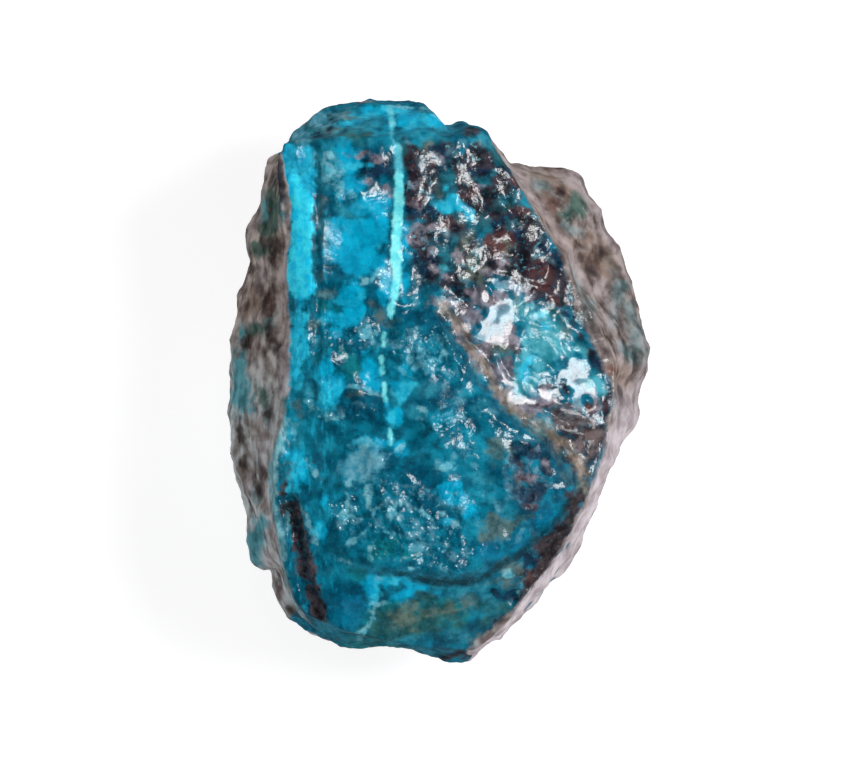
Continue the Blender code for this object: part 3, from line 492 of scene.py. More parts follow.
# The edge of the blue and dark skin, beyond which the brown flanks begin.
SEEN_SKIN = (
    (286, 132), (296, 112), (308, 84), (336, 66), (380, 62), (430, 66), (452, 84), (478, 96), (494, 118),
    (498, 140), (508, 160), (522, 190), (539, 220), (557, 250), (569, 282), (577, 310), (589, 338),
    (603, 365), (612, 385), (614, 405), (608, 425), (603, 450), (596, 469), (589, 490), (580, 508),
    (570, 531), (554, 559), (539, 578), (526, 595), (510, 612), (492, 628), (478, 640), (468, 652),
    (462, 668), (448, 690), (400, 692), (345, 676), (318, 648), (300, 618), (290, 590), (282, 560),
    (276, 530), (271, 500), (270, 465), (277, 440), (284, 415), (289, 385), (290, 330), (288, 300),
    (287, 260), (291, 235), (290, 200), (284, 165), (281, 146),
)
# Strips: the half width of each run and the points it follows.
SEEN_STRIPS = {
    "vein": (
        (2.2, ((382, 357), (382.5, 374))),
        (2, ((384, 384), (386, 400))),
        (1.8, ((389, 428), (391, 445))),
        (1.5, ((384, 332), (383, 345))),
        (5.2, ((398, 176), (398, 200), (397, 212), (395.5, 228), (396, 245), (397, 262))),
        (4.6, ((397, 262), (397, 276), (394.5, 290))),
        (3.4, ((394.5, 290), (392.5, 304), (391, 314))),
    ),
    "vein_dull": (
        (3.2, ((389.5, 105), (391, 118), (391.5, 128))),
        (1.4, ((391.5, 128), (393, 138), (396, 147))),
        (4.2, ((397, 148), (398, 165), (398, 178))),
    ),
    "band": (
        (11, ((302, 200), (302, 230), (301, 255), (300, 275), (303, 286))),
        (8, ((294, 184), (301, 205))),
        (9, ((300, 268), (303, 289))),
        (6, ((290, 268), (290, 284))),
    ),
    "band_dull": (
        (8, ((289, 150), (292, 168), (296, 185))),
        (8.8, ((306, 153), (308, 172), (306, 192))),
        (5, ((299, 290), (298, 312))),
    ),
    # Painted shade: a dark line along the left of the vein, and along the groove at the right of the band.
    "groove": (
        (1.6, ((391, 150), (391, 175), (391, 200), (389.5, 222), (389, 245), (390, 262))),
        (2.8, ((317, 148), (318, 175), (316, 205), (315, 240), (316, 300))),
    ),
    "crack": (
        (7, ((293, 506), (296, 522), (298, 545), (301, 556))),
        (8, ((303, 560), (310, 578))),
        (8.5, ((313, 590), (316, 602), (319, 614))),
        (2.2, ((284, 482), (284, 512))),
    ),
    "rim": (
        (4.2, ((440, 304), (452, 318), (464, 334), (474, 350), (483, 367), (494, 385), (506, 401),
            (523, 414), (542, 425), (558, 436), (573, 454), (583, 474), (588, 492))),
    ),
    "pale_edge": (
        (5, ((284, 425), (278, 440), (273, 455), (271, 475), (273, 500))),
        (3.6, ((273, 500), (276, 520), (279, 540), (283, 556))),
        (1.8, ((288, 505), (287, 530))),
    ),
    # Painted shadow: a dark line along the lower edge of the lobe, where it stands over the face below.
    "dark_edge": (
        (3.4, ((396, 574), (430, 582), (480, 581), (500, 568), (520, 554), (540, 538), (556, 520),
            (572, 500))),
    ),
    "shade": (
        (5, ((430, 318), (444, 336), (456, 352), (466, 368), (477, 386), (491, 405), (509, 422), (531, 434),
            (549, 446), (561, 462), (568, 480))),
    ),
    "dark_band": (
        (10, ((568, 526), (557, 544), (546, 560))),
        (7, ((581, 497), (568, 526))),
        (7, ((546, 560), (535, 580), (525, 597))),
    ),
    "flank_pale_strip": (
        (4.5, ((506, 163), (528, 192), (545, 213), (556, 232), (570, 252), (580, 272), (590, 288))),
    ),
    "flank_navy": (
        (3, ((281, 158), (284, 185), (288, 208), (289, 240))),
    ),
}
TOP_HEIGHT, GLARE_HEIGHT, SKIN_HEIGHT, FLANK_HEIGHT = 29.5, 28.5, 27.0, 20.0  # mm: where each kind lies
GLINT_SHARE, LEAST_HALF = 0.85, 0.1


def on_stone(across, down, height):
    """A picture place as x and y in millimetres at a height, by similar triangles from the camera."""
    nearer = (CAMERA_PLACE[2] / MM - height) * MM / CAMERA_REACH
    element = CAMERA_SPAN / MM / PICTURE_WIDTH * nearer
    x = CAMERA_PLACE[0] / MM + (across - PICTURE_MIDDLE[0]) * element
    y = CAMERA_PLACE[1] / MM - (down - PICTURE_MIDDLE[1]) * element
    return x, y, element


def placed_spot(spot, height, share=1.0):
    """A spot in millimetres: its place, and its half lengths times the size of a picture element."""
    across, down, half_x, half_y, *turn = spot
    x, y, element = on_stone(across, down, height)
    return (x, y, *(max(half * element * share, LEAST_HALF) for half in (half_x, half_y)), *turn)


def placed_strip(strip, height):
    """A strip in millimetres: its half width and the points of its line."""
    half_width, line = strip
    element = on_stone(0, 0, height)[2]
    return half_width * element, [on_stone(*place, height)[:2] for place in line]


def height_of(name):
    """The height at which a kind of mark lies: half way down the sides for one on the flanks."""
    return FLANK_HEIGHT if name.startswith("flank") else TOP_HEIGHT


SPOTS = {
    name: [placed_spot(s, height_of(name), GLINT_SHARE if name == "glints" else 1.0) for s in spots]
    for name, spots in SEEN_SPOTS.items()
}
GLARE = [[placed_spot(patch, GLARE_HEIGHT) for patch in patches] for patches in SEEN_GLARE]
SPOTS["glare"] = [patch for patches in GLARE for patch in patches]
STRIPS = {name: [placed_strip(s, height_of(name)) for s in strips] for name, strips in SEEN_STRIPS.items()}
SKIN = [on_stone(*place, SKIN_HEIGHT)[:2] for place in SEEN_SKIN]

LENGTH, WIDTH, HEIGHT = 62.0, 46.6, 31.0  # mm, as the solid

# The widest outline seen from above, the edge where the upper face breaks over, and the foot.
OUTLINE = (
    (-9.8, 30.9), (-3.0, 30.9), (-1.4, 30.2), (0.1, 28.2), (3.0, 28.3), (4.0, 26.8), (6.3, 24.2),
    (10.0, 23.6), (14.0, 23.1), (16.2, 20.9), (17.5, 18.9), (19.0, 15.0), (21.8, 8.9), (23.3, 2.3),
    (21.9, -1.5), (21.7, -4.3), (19.9, -7.3), (18.0, -12.2), (15.9, -16.9), (14.0, -20.6),
    (11.1, -23.8), (7.3, -27.9), (5.8, -28.6), (4.5, -29.7), (3.0, -31.0), (0.1, -30.8),
    (-4.3, -29.4), (-10.3, -28.7), (-13.6, -28.4), (-17.8, -24.9), (-18.7, -21.2), (-19.9, -20.9),
    (-21.2, -19.7), (-21.4, -14.2), (-22.8, -8.7), (-23.2, -3.2), (-23.1, 2.3), (-21.7, 8.8),
    (-20.7, 13.0), (-21.1, 16.5), (-19.7, 19.6), (-18.7, 22.4), (-18.1, 24.7), (-16.1, 26.2), (-15.0, 28.3),
)
FACE_EDGE = (
    (-15.3, 26.2), (-5.9, 26.7), (-1.5, 27.3), (0.7, 26.7), (2.9, 27.2), (6.7, 23.8), (11.7, 16.1),
    (16.1, 7.8), (18.3, 3.4), (19.1, -0.4), (17.7, -7.6), (15.0, -15.3), (10.0, -22.4),
    (5.1, -28.5), (1.8, -29.6), (-7.6, -28.1), (-14.7, -25.2), (-17.2, -18.6), (-18.0, -9.8),
    (-16.7, 0.1), (-16.8, 13.3), (-17.5, 24.3),
)
FOOT = (
    (20.5, 1.5), (17.5, 14.0), (10.0, 21.5), (-1.0, 26.5), (-13.0, 24.5), (-19.0, 13.0), (-20.5, -2.0),
    (-18.5, -18.0), (-9.0, -26.5), (3.0, -27.5), (11.5, -20.5), (17.5, -9.0),
)
# The planes that its edges are broken off along: a bearing from +X and a lean outwards from upright, in
# degrees, and how far from the middle each meets the resting plane.
UNDER_PLANES = (
    (10.0, 28.0, 17.8), (47.0, 36.0, 18.2), (84.0, 24.0, 23.2), (119.0, 34.0, 21.4), (153.0, 22.0, 20.6),
    (190.0, 32.0, 15.6), (222.0, 26.0, 21.8), (254.0, 36.0, 21.2), (286.0, 22.0, 26.0), (316.0, 39.0, 17.0),
    (344.0, 18.0, 18.6),
)
RIM_BEARINGS = (0, 45, 90, 135, 180, 225, 270, 315, 360)
RIM_HEIGHTS = (9.5, 12.0, 17.0, 16.0, 12.5, 14.0, 12.5, 8.5, 9.5)
SWELL_BEARINGS, SWELL_DEPTH = (10.0, 34.0, 55.0, 78.0), 0.9

# The planes that the upper face is broken along: a point (x, y, z) on each, its rise along X and Y.
FACE_PLANES = (
    ((0.0, -4.0, 30.9), (0.01, 0.00)),  # crown, nearly level
    ((-4.0, 18.0, 29.6), (0.04, -0.12)),  # upper field
    ((0.0, 26.8, 28.6), (0.00, -1.10)),  # bevel along the top edge
    ((6.5, 3.0, 29.9), (-0.34, -0.06)),  # right shoulder
    ((7.0, 17.0, 28.6), (-0.28, -0.16)),  # dark field above it
    ((0.0, -19.0, 30.1), (-0.04, 0.16)),  # lower field
    ((2.0, -23.5, 28.6), (-0.10, 0.62)),  # facet along the bottom edge
    ((-14.0, 0.0, 30.0), (0.22, 0.02)),  # left shoulder
    ((-14.5, -21.0, 27.8), (0.38, 0.34)),  # lower left corner
    ((13.0, -13.0, 28.2), (-0.42, 0.20)),  # lower right shoulder
)
PLANE_BLEND = 2.2  # per millimetre: how sharply two planes meet

LOBE = (
    (-4.3, 6.9), (-2.6, 8.2), (-1.0, 8.2), (0.2, 7.2), (3.2, 2.5), (7.3, -3.0), (12.0, -6.3),
    (14.7, -10.7), (15.3, -13.1), (12.9, -17.5), (7.3, -20.9), (1.2, -22.3), (-4.8, -21.7),
    (-11.4, -19.7), (-14.7, -13.1), (-14.7, -8.7), (-12.0, -1.5), (-7.6, 4.0),
)
LOBE_CENTRE, LOBE_RISE, LOBE_ROUNDING = (-1.0, -8.5), 1.5, 1.8
SHOULDER = (
    (0.1, 10.6), (4.5, 12.2), (8.9, 11.7), (12.8, 8.9), (17.5, 1.8), (18.6, -1.5), (17.2, -8.7),
    (16.1, -10.9), (12.2, -5.9), (6.7, -1.9), (2.3, 4.0),
)
SHOULDER_CENTRE, SHOULDER_LUMP, SHOULDER_RISE = (10.0, 3.0), 3.4, 0.55
GROOVES = (
    (((-13.2, 25.0), (-13.5, 17.7), (-13.4, 10.0), (-13.4, 4.5), (-14.0, -2.1)), 0.4, -0.3),
    (((-16.5, -13.1), (-15.6, -16.4), (-15.0, -19.7), (-14.0, -24.1), (-13.5, -26.8)), 0.8, -1.4),
    (((-16.2, 25.6), (-15.1, 19.9), (-15.0, 8.9), (-15.7, 0.7)), 1.1, 0.45),
)
PIT_CENTRE, PIT_RADIUS, PIT_DEPTH = (8.0, -23.4), 0.9, 0.9
DENT_SIZE, DENT_DEPTH = 6.0, 0.9
DARK_LUMP, DARK_LUMP_RISE = 4.2, 0.6
CHIP_SIZE, CHIP_DEPTH, FLANK_CHIP_DEPTH = 11.0, 1.8, 1.0
LAYERS, LAYER_LENGTH, LAYER_RELIEF = 6.0, 17.0, 0.25  # layers from the face down to the outline
SWERVE_SIZE, SWERVE, GROOVE_SWERVE = 5.0, 1.6, 0.25
LUMP_SIZE, LUMP_RELIEF = 9.0, 0.7
GRAIN_SIZE, GRAIN_RELIEF = 2.6, 0.3
RIM_CALM, TWIST, PLAIN_SHARE, CORE_HEIGHT, BASE_SINK = 0.8, 0.08, 0.95, 13.0, 0.6
PLAIN_TURNS, EDGE_SHARE, FOOT_FADE = (-0.3, -0.1, 0.1, 0.3), 0.985, 2.0
FLANK_BULGE, UNDERCUT_BULGE = 1.5, 1.7
FACE_LEVEL, RIM_LEVEL = 1.0, 2.0  # where the face and the upper flank end; the foot is 3 and the base 4

# The finer relief that only this surface carries, in millimetres.
BEAD_SIZE, BEAD_DEPTH = 1.1, 0.16  # the wet beads that catch the light on the lobe and the matrix
PEBBLE_SIZE, PEBBLE_RELIEF = 1.1, 0.11
SPALL_SIZE, SPALL_RELIEF = 3.6, 0.3  # small chips all round the flanks
SPLINTER_RELIEF = 0.06  # along the layers of the flanks
VEIN_RISE = 0.05

GRID = 300  # squares along each side of the sheet that is wrapped over the stone
SHARES = (0.0, 0.6, 0.8, 0.94, 1.0)  # of the sheet's half width, where each level is reached
LEVELS = (0.0, 1.0, 2.0, 3.0, 3.6)


def scatter(cell, seed):
    """A fixed number from 0 to 1 for each whole-number cell, from its coordinates mixed by large primes."""
    mixed = cell @ np.array([73856093, 19349663, 83492791]) + seed * 40503
    mixed = ((mixed ^ (mixed >> 13)) & 0xFFFFFFFF) * 1274126177
    return ((mixed ^ (mixed >> 16)) & 0xFFFFFF) / 0xFFFFFF


def noise(point, seed):
    """Smooth noise from -1 to 1: the numbers at a unit cell's eight corners, blended by smoothstep."""
    low = np.floor(point).astype(np.int64)
    share = point - low
    share = share * share * (3 - 2 * share)
    total = np.zeros(len(point))
    for corner in itertools.product((0, 1), repeat=3):
        weight = np.prod(np.where(corner, share, 1 - share), axis=1)
        total += weight * scatter(low + corner, seed)
    return 2 * total - 1


def swerved(point, seed):
    """Points pushed about by smooth noise, so that what is drawn with them is irregular."""
    return point + SWERVE * np.stack([noise(point / SWERVE_SIZE, seed + k) for k in range(3)], axis=1)


def nearest_seed(point, seed):
    """Squared distance to the nearest of a cloud of seeds, one in each unit cell at a scattered place."""
    low = np.floor(point).astype(np.int64)
    best = np.full(len(point), np.inf)
    for step in itertools.product((-1, 0, 1), repeat=3):
        cell = low + step
        place = cell + np.stack([scatter(cell, seed + k) for k in range(3)], axis=1)
        best = np.minimum(best, ((point - place) ** 2).sum(axis=1))
    return best


def smooth_step(value, low, high):
    """0 below low, 1 above high, and a smooth s-curve between them."""
    share = np.clip((value - low) / (high - low), 0, 1)
    return share * share * (3 - 2 * share)


def closed_line(points, centre=(0.0, 0.0)):
    """A smooth closed line (Catmull-Rom) through plan points, as sorted bearings and radii from a centre."""
    p = np.array(points) - centre
    before, after, beyond = (np.roll(p, shift, axis=0) for shift in (1, -1, -2))
    t = np.linspace(0, 1, 16, endpoint=False)[:, None, None]
    bend = 2 * before - 5 * p + 4 * after - beyond
    twist = 3 * (p - after) + beyond - before
    curve = p + 0.5 * t * (after - before + t * (bend + t * twist))
    x, y = curve.reshape(-1, 2).T
    bearing, radius = np.arctan2(y, x), np.hypot(x, y)
    order = np.argsort(bearing)
    return bearing[order], radius[order]


def radius_at(line, bearing):
    """The radius of a closed line at a bearing."""
    return np.interp(bearing, *line, period=math.tau)


def inside(points, centre, x, y):
    """How far inside a closed line each plan point is, along the bearing from its centre."""
    dx, dy = x - centre[0], y - centre[1]
    return radius_at(closed_line(points, centre), np.arctan2(dy, dx)) - np.hypot(dx, dy)


def line_distance(points, x, y):
    """Distance in plan to the nearest point of an open line of straight runs."""
    best = np.full(x.shape, np.inf)
    for (ax, ay), (bx, by) in itertools.pairwise(points):
        dx, dy = bx - ax, by - ay
        share = np.clip(((x - ax) * dx + (y - ay) * dy) / (dx * dx + dy * dy), 0, 1)
        best = np.minimum(best, np.hypot(x - ax - share * dx, y - ay - share * dy))
    return best


def face_height(x, y):
    """Height of the upper face: the lowest of its planes, with their meeting edges rounded."""
    heights = [z + rise_x * (x - px) + rise_y * (y - py) for (px, py, z), (rise_x, rise_y) in FACE_PLANES]
    return -np.log(sum(np.exp(-PLANE_BLEND * (h - HEIGHT)) for h in heights)) / PLANE_BLEND + HEIGHT


def broken_form(bearing, level):
    """The stone's main form at a bearing and level, as points with the share that is upper face."""
    level_turn = TWIST * np.sin(2.3 * (level - RIM_LEVEL)) * np.sin(3 * bearing + 1)
    outline = radius_at(closed_line(OUTLINE), bearing + level_turn)
    nearby = [radius_at(closed_line(OUTLINE), bearing + turn) for turn in PLAIN_TURNS]
    plain = PLAIN_SHARE * np.mean(nearby, axis=0)
    outline += (plain - outline) * smooth_step(level, RIM_LEVEL + 0.15, RIM_LEVEL + 0.6)
    edge = np.minimum(radius_at(closed_line(FACE_EDGE), bearing), EDGE_SHARE * outline)
    foot = radius_at(closed_line(FOOT), bearing)
    face, flank, undercut, base = (np.clip(level - start, 0, 1) for start in range(4))
    radius = edge * face
    direction = np.stack([np.cos(bearing), np.sin(bearing)])
    top = face_height(*(direction * radius))
    rim = np.interp(np.degrees(bearing) % 360, RIM_BEARINGS, RIM_HEIGHTS)
    radius = radius + (outline - edge) * (1 - (1 - flank) ** FLANK_BULGE)
    radius = radius - (outline - foot) * undercut**UNDERCUT_BULGE - foot * base
    height = top + (rim - top) * flank - (rim + BASE_SINK) * undercut
    on_face = 1 - smooth_step(level, FACE_LEVEL - 0.06, FACE_LEVEL + 0.12)
    return np.stack([*(direction * radius), height], axis=1), on_face


def broken_off(point, level):
    """The points that lie beyond a plane of the underside, moved square back on to it."""
    below = smooth_step(level, RIM_LEVEL + 0.02, RIM_LEVEL + 0.2)
    for bearing, lean, reach in np.radians(UNDER_PLANES) * (1, 1, math.degrees(1)):
        level_share, down_share = math.cos(lean), math.sin(lean)
        outward = np.array([math.cos(bearing) * level_share, math.sin(bearing) * level_share, -down_share])
        beyond = np.maximum(point @ outward - reach * level_share, 0)
        point = point - outward * (beyond * below)[:, None]
    return point


def face_relief(x, y):
    """Height added to the upper face by its lobe, lumps, grooves, strips, dents and pit."""
    lobe = inside(LOBE, LOBE_CENTRE, x, y)
    stands_proud = smooth_step(x - 0.25 * y, -12, -1)
    relief = LOBE_RISE * stands_proud * (smooth_step(lobe, -0.3, LOBE_ROUNDING) - 0.5)
    place = swerved(np.stack([x, y, np.zeros_like(x)], axis=1), seed=71)
    shoulder = smooth_step(inside(SHOULDER, SHOULDER_CENTRE, x, y), 0, 1.5)
    calm = 1 - 0.85 * spotted("glare", x, y)
    relief += calm * shoulder * SHOULDER_RISE * (0.5 - 2 * nearest_seed(place / SHOULDER_LUMP, seed=11))
    dark = (1 - shoulder) * smooth_step(x, -5, -3) * smooth_step(y, 8, 11)
    lumps = 0.5 * (0.5 - 2 * nearest_seed(place / DARK_LUMP, seed=17)) + 0.8 * noise(place / 2.1, seed=19)
    relief += dark * DARK_LUMP_RISE * lumps
    dents = nearest_seed(place / DENT_SIZE + 0.4, seed=23)
    relief += (1 - shoulder) * (1 - dark) * DENT_DEPTH * (2 * dents - 0.5)
    wandered = GROOVE_SWERVE * place[:, :2].T + (1 - GROOVE_SWERVE) * np.stack([x, y])
    for line, half_width, height in GROOVES:
        away = line_distance(line, *wandered) / half_width
        relief += height * (1 - smooth_step(away, 0.4, 1.5))
    pit = np.hypot(x - PIT_CENTRE[0], y - PIT_CENTRE[1])
    relief -= PIT_DEPTH * (1 - smooth_step(pit, 0.3 * PIT_RADIUS, 1.3 * PIT_RADIUS))
    beads = nearest_seed(swerved(place * 2.3, seed=81) / 2.3 / BEAD_SIZE, seed=85)
    bead_share = calm * (0.1 + 0.9 * spotted("beads", x, y) + 0.5 * spotted("curls", x, y))
    relief += bead_share * BEAD_DEPTH * (0.5 - 2 * beads)
    relief += VEIN_RISE * smooth_step(strip_field("vein", x, y), -0.15, 0.25)
    return relief


def broken_relief(point, level, on_face):
    """Relief all over the stone: chips and layers on the flanks, and lumps and grain everywhere."""
    chips = np.minimum(2 * nearest_seed(swerved(point, seed=75) / CHIP_SIZE, seed=31), 1) - 1
    bed = np.column_stack([point[:, 0] / LAYER_LENGTH, point[:, 1] / LAYER_LENGTH, level * LAYERS])
    chip_depth = FLANK_CHIP_DEPTH + (CHIP_DEPTH - FLANK_CHIP_DEPTH) * smooth_step(level, 2.0, 2.5)
    relief = (1 - on_face) * (chip_depth * chips + LAYER_RELIEF * noise(bed, seed=41))
    relief += LUMP_RELIEF * (1 - 0.6 * on_face) * noise(point / LUMP_SIZE, seed=51)
    return relief + GRAIN_RELIEF * noise(point / GRAIN_SIZE, seed=61)


def fine_relief(point, level, on_face):
    """The relief too small for the solid: pebbles all over, with small chips and splinters on the flanks."""
    bed = np.column_stack([point[:, 0] / LAYER_LENGTH, point[:, 1] / LAYER_LENGTH, level * LAYERS])
    relief = SPLINTER_RELIEF * noise(bed * (4.0, 4.0, 2.6), seed=43)
    spalls = np.minimum(1.6 * nearest_seed(swerved(point, seed=47) / SPALL_SIZE, seed=45), 1)
    relief += SPALL_RELIEF * (2 * spalls - 1)
    relief *= smooth_step(level, FACE_LEVEL, FACE_LEVEL + 0.5)
    relief += PEBBLE_RELIEF * noise(point / PEBBLE_SIZE, seed=55)
    return relief + 0.5 * PEBBLE_RELIEF * noise(point / PEBBLE_SIZE * 2.1 + 0.3, seed=57)


def stone_surface(bearing, level):
    """Points of the finished surface, in millimetres."""
    point, on_face = broken_form(bearing, level)
    point = broken_off(point, level)
    outward = (point - (0, 0, CORE_HEIGHT)) / (WIDTH / 2, LENGTH / 2, HEIGHT / 2)
    outward /= (WIDTH, LENGTH, HEIGHT)
    outward /= np.linalg.norm(outward, axis=1, keepdims=True) + 1e-9
    above_foot = smooth_step(point[:, 2], -BASE_SINK, FOOT_FADE)
    calm = 1 - RIM_CALM * smooth_step(level, 1.55, 1.85) * (1 - smooth_step(level, 2.03, 2.25))
    relief = (broken_relief(point, level, on_face) * calm + fine_relief(point, level, on_face)) * above_foot
    flank = np.clip(level - FACE_LEVEL, 0, 1)
    turn = np.interp(np.degrees(bearing) % 360, SWELL_BEARINGS, (0, 1, 1, 0))
    relief -= SWELL_DEPTH * turn * np.sin(math.tau * flank)
    lifted = point + outward * relief[:, None]
    lifted[:, 2] += on_face * face_relief(point[:, 0], point[:, 1])
    return lifted


def fitted(point):
    """The points moved and scaled so that the stone fills its length, width and height exactly."""
    low, high = point.min(axis=0), point.max(axis=0)
    size = np.array([WIDTH, LENGTH, HEIGHT + BASE_SINK])
    point = (point - (low + high) / 2) * size / (high - low)
    point[:, 2] += (HEIGHT - BASE_SINK) / 2
    return point


def wrapped_sheet(count):
    """A square sheet's points as bearings and shares of its half width, so that squares become rings."""
    side = np.linspace(-1, 1, count + 1)
    u, v = np.meshgrid(side, side, indexing="ij")
    wide = np.abs(u) > np.abs(v)
    share = np.where(wide, np.abs(u), np.abs(v))
    along = np.where(wide, u, v)
    across = np.where(wide, v, u)
    safe = np.where(along == 0, 1, along)
    quarter = across / safe * math.pi / 4
    bearing = np.where(wide, quarter, math.pi / 2 - quarter) + np.where(along < 0, math.pi, 0)
    return bearing.ravel(), share.ravel()


def closed_faces(count):
    """The sheet's squares, and triangles from its border to one last point at the base's centre."""
    number = np.arange((count + 1) ** 2).reshape(count + 1, count + 1)
    squares = np.stack([number[:-1, :-1], number[1:, :-1], number[1:, 1:], number[:-1, 1:]], axis=-1)
    border = np.concatenate([number[:-1, 0], number[-1, :-1], number[:0:-1, -1], number[0, :0:-1]])
    last = np.full(len(border), (count + 1) ** 2)
    return squares.reshape(-1, 4), np.stack([np.roll(border, -1), border, last], axis=1)


def spot_reach(spot, x, y):
    """Distance from a spot's centre as a share of its half lengths, which is 1 on its edge."""
    cx, cy, half_x, half_y, *turn = spot
    turn = math.radians(turn[0]) if turn else 0.0
    u = (x - cx) * math.cos(turn) + (y - cy) * math.sin(turn)
    v = (y - cy) * math.cos(turn) - (x - cx) * math.sin(turn)
    return np.hypot(u / half_x, v / half_y)


def spot_field(name, x, y):
    """Millimetres inside the nearest spot of a kind: one less its reach, times its smaller half length."""
    field = np.full(x.shape, -2.0)
    for spot in SPOTS[name]:
        field = np.maximum(field, (1 - spot_reach(spot, x, y)) * min(spot[2:4]))
    return field


def spotted(name, x, y):
    """A weight that rises from 0 to 1 across the edge of a kind's spots."""
    return smooth_step(spot_field(name, x, y), -0.25, 0.45)


def strip_field(name, x, y):
    """Millimetres inside the nearest run of a strip: its half width less the distance to its line."""
    return np.maximum(np.max([half - line_distance(line, x, y) for half, line in STRIPS[name]], axis=0), -2.0)


GLARE_REACH, GLINT_REACH = 1.3, 1.6  # the last level, and the last share of a spot, that a facet changes
GLARE_PRESS, GLINT_PRESS = 0.7, 0.2  # mm: how far a point may be moved


def press_flat(point, near, centre, most, share):
    """Moves points toward a plane through the centre one, square to the bisector of up and the key light."""
    z = point[:, 2]
    bearing, tilt = math.radians(KEY_BEARING), math.radians(KEY_TILT)
    lamp = np.array([math.sin(tilt) * math.cos(bearing), math.sin(tilt) * math.sin(bearing), math.cos(tilt)])
    to_lamp = lamp * KEY_REACH / MM + (0, 0, AIM_HEIGHT / MM) - point[centre]
    bisector = to_lamp / np.linalg.norm(to_lamp) + (0, 0, 1)
    away_x, away_y = (point[near] - point[centre])[:, :2].T
    plane = z[centre] - (bisector[0] * away_x + bisector[1] * away_y) / bisector[2]
    z[near] += np.clip(plane - z[near], -most, most) * share


def press_facets(point, level):
    """Flattens the broad wet faces of the shoulder, then a small face at each glint."""
    x, y = point[:, :2].T
    for patches in GLARE:
        depth = np.max([(1 - spot_reach(spot, x, y)) * min(spot[2:4]) for spot in patches], axis=0)
        near = np.flatnonzero((level < GLARE_REACH) & (depth > -0.5))
        centre = near[np.argmin(spot_reach(patches[0], x[near], y[near]))]
        press_flat(point, near, centre, GLARE_PRESS, smooth_step(depth[near], -0.4, 0.2))
    for spot in SPOTS["glints"]:
        reach = spot_reach(spot, x, y)
        near = np.flatnonzero((level < FACE_LEVEL) & (reach < GLINT_REACH))
        if len(near):
            centre = near[np.argmin(reach[near])]
            press_flat(point, near, centre, GLINT_PRESS, 1 - smooth_step(reach[near], 0.7, GLINT_REACH))


bearing, share = wrapped_sheet(GRID)
level = np.interp(share, SHARES, LEVELS)
point = fitted(stone_surface(bearing, level))
press_facets(point, level)
point[:, 2] = np.maximum(point[:, 2], 0.0)
x, y = point[:, :2].T
border_middle = np.array([[*point[share > 0.999].mean(axis=0)]])
squares, fan = closed_faces(GRID)
stone_mesh = bpy.data.meshes.new("chrysocolla")
stone_mesh.from_pydata(
    (np.vstack([point, border_middle]) * MM).tolist(), [], squares.tolist() + fan.tolist()
)
stone_mesh.validate()
stone_mesh.polygons.foreach_set("use_smooth", np.ones(len(stone_mesh.polygons), dtype=bool))
stone = bpy.data.objects.new("chrysocolla", stone_mesh)
scene.collection.objects.link(stone)

# Where each kind of mineral, painted light or painted shade lies, one number a vertex: millimetres inside its
# spots. All of them end on the broken sides in a ragged line below the widest outline.
plan = np.stack([x, y, np.zeros_like(x)], axis=1)
TEAR, TEAR_LENGTH = 0.45, 2.6  # mm: how far edges wander, and over what length
FINE_TEAR, FINE_TEAR_LENGTH = 0.22, 1.1
STRIP_TEAR = 0.4  # a strip's edges are torn this share as far as a spot's
SKIN_END, SKIN_SPAN = 2.1, 7.0  # the level where the skin ends, and about how many mm a level spans there
SPOT_END, SPOT_SPAN = 1.85, 6.0
FLANK_START, FLANK_SPAN = 0.8, 9.0
x_torn, y_torn = (
    place + TEAR * noise(plan / TEAR_LENGTH, seed) + FINE_TEAR * noise(plan / FINE_TEAR_LENGTH, seed + 1)
    for place, seed in ((x, 91), (y, 95))
)
wander = noise(point / 4.5, 101) + 0.6 * noise(point / 1.9, 103)
down_to_ragged_line = (SKIN_END + 0.35 * wander - level) * SKIN_SPAN
short_of_it = (SPOT_END + 0.25 * wander - level) * SPOT_SPAN
below_face = (level - FLANK_START) * FLANK_SPAN
fields = {name: spot_field(name, x_torn, y_torn) for name in SPOTS}
for name in STRIPS:
    fields[name] = strip_field(name, x + STRIP_TEAR * (x_torn - x), y + STRIP_TEAR * (y_torn - y))
for name, field in fields.items():
    on_flank = name.startswith("flank")
    fields[name] = np.minimum(field, np.minimum(below_face, down_to_ragged_line) if on_flank else short_of_it)
push = 0.2 + 2.4 * smooth_step(level, 1.1, 2.1)  # mm: the skin's edge frays more down the broken sides
face = inside(SKIN, (0.0, 0.0), x + push * noise(point / 3.7, 105), y + push * noise(point / 3.7, 107))
fields["face"] = np.minimum(face, down_to_ragged_line)

# The film of water covers the face and thins down the sides. Each of these kinds dulls it by a share.
DULLED = {
    "rim": 0.8, "band": 0.8, "band_dull": 0.7, "vein": 0.75,
    "turquoise": 0.5, "sky": 0.5, "navy": 0.85, "umber": 0.6,
}
fields["film"] = np.where(level < 1.9, 1 - 0.8 * smooth_step(level, 0.95, 1.25), 0.1)
for name, dulled in DULLED.items():
    low = -0.8 if name == "band" else -0.2
    fields["film"] *= 1 - dulled * smooth_step(fields[name], low, low + 0.6)
fields["stringy"] = smooth_step(-x, 9.5, 12) * (1 - smooth_step(fields["crack"], -0.4, 0.2))
fields["stringy"] *= 1 - 0.85 * smooth_step(fields["band"], -0.6, 0.2)
mottle = smooth_step(noise(plan / 0.8, 111) + 0.5 * noise(plan / 2.2, 113), 0.15, 0.45)
fields["film"] *= 1 - 0.8 * mottle * smooth_step(fields["glare"], -0.3, 0.1)
fields["film"] *= 1 - 0.9 * smooth_step(fields["matt"], -0.4, 0.6)
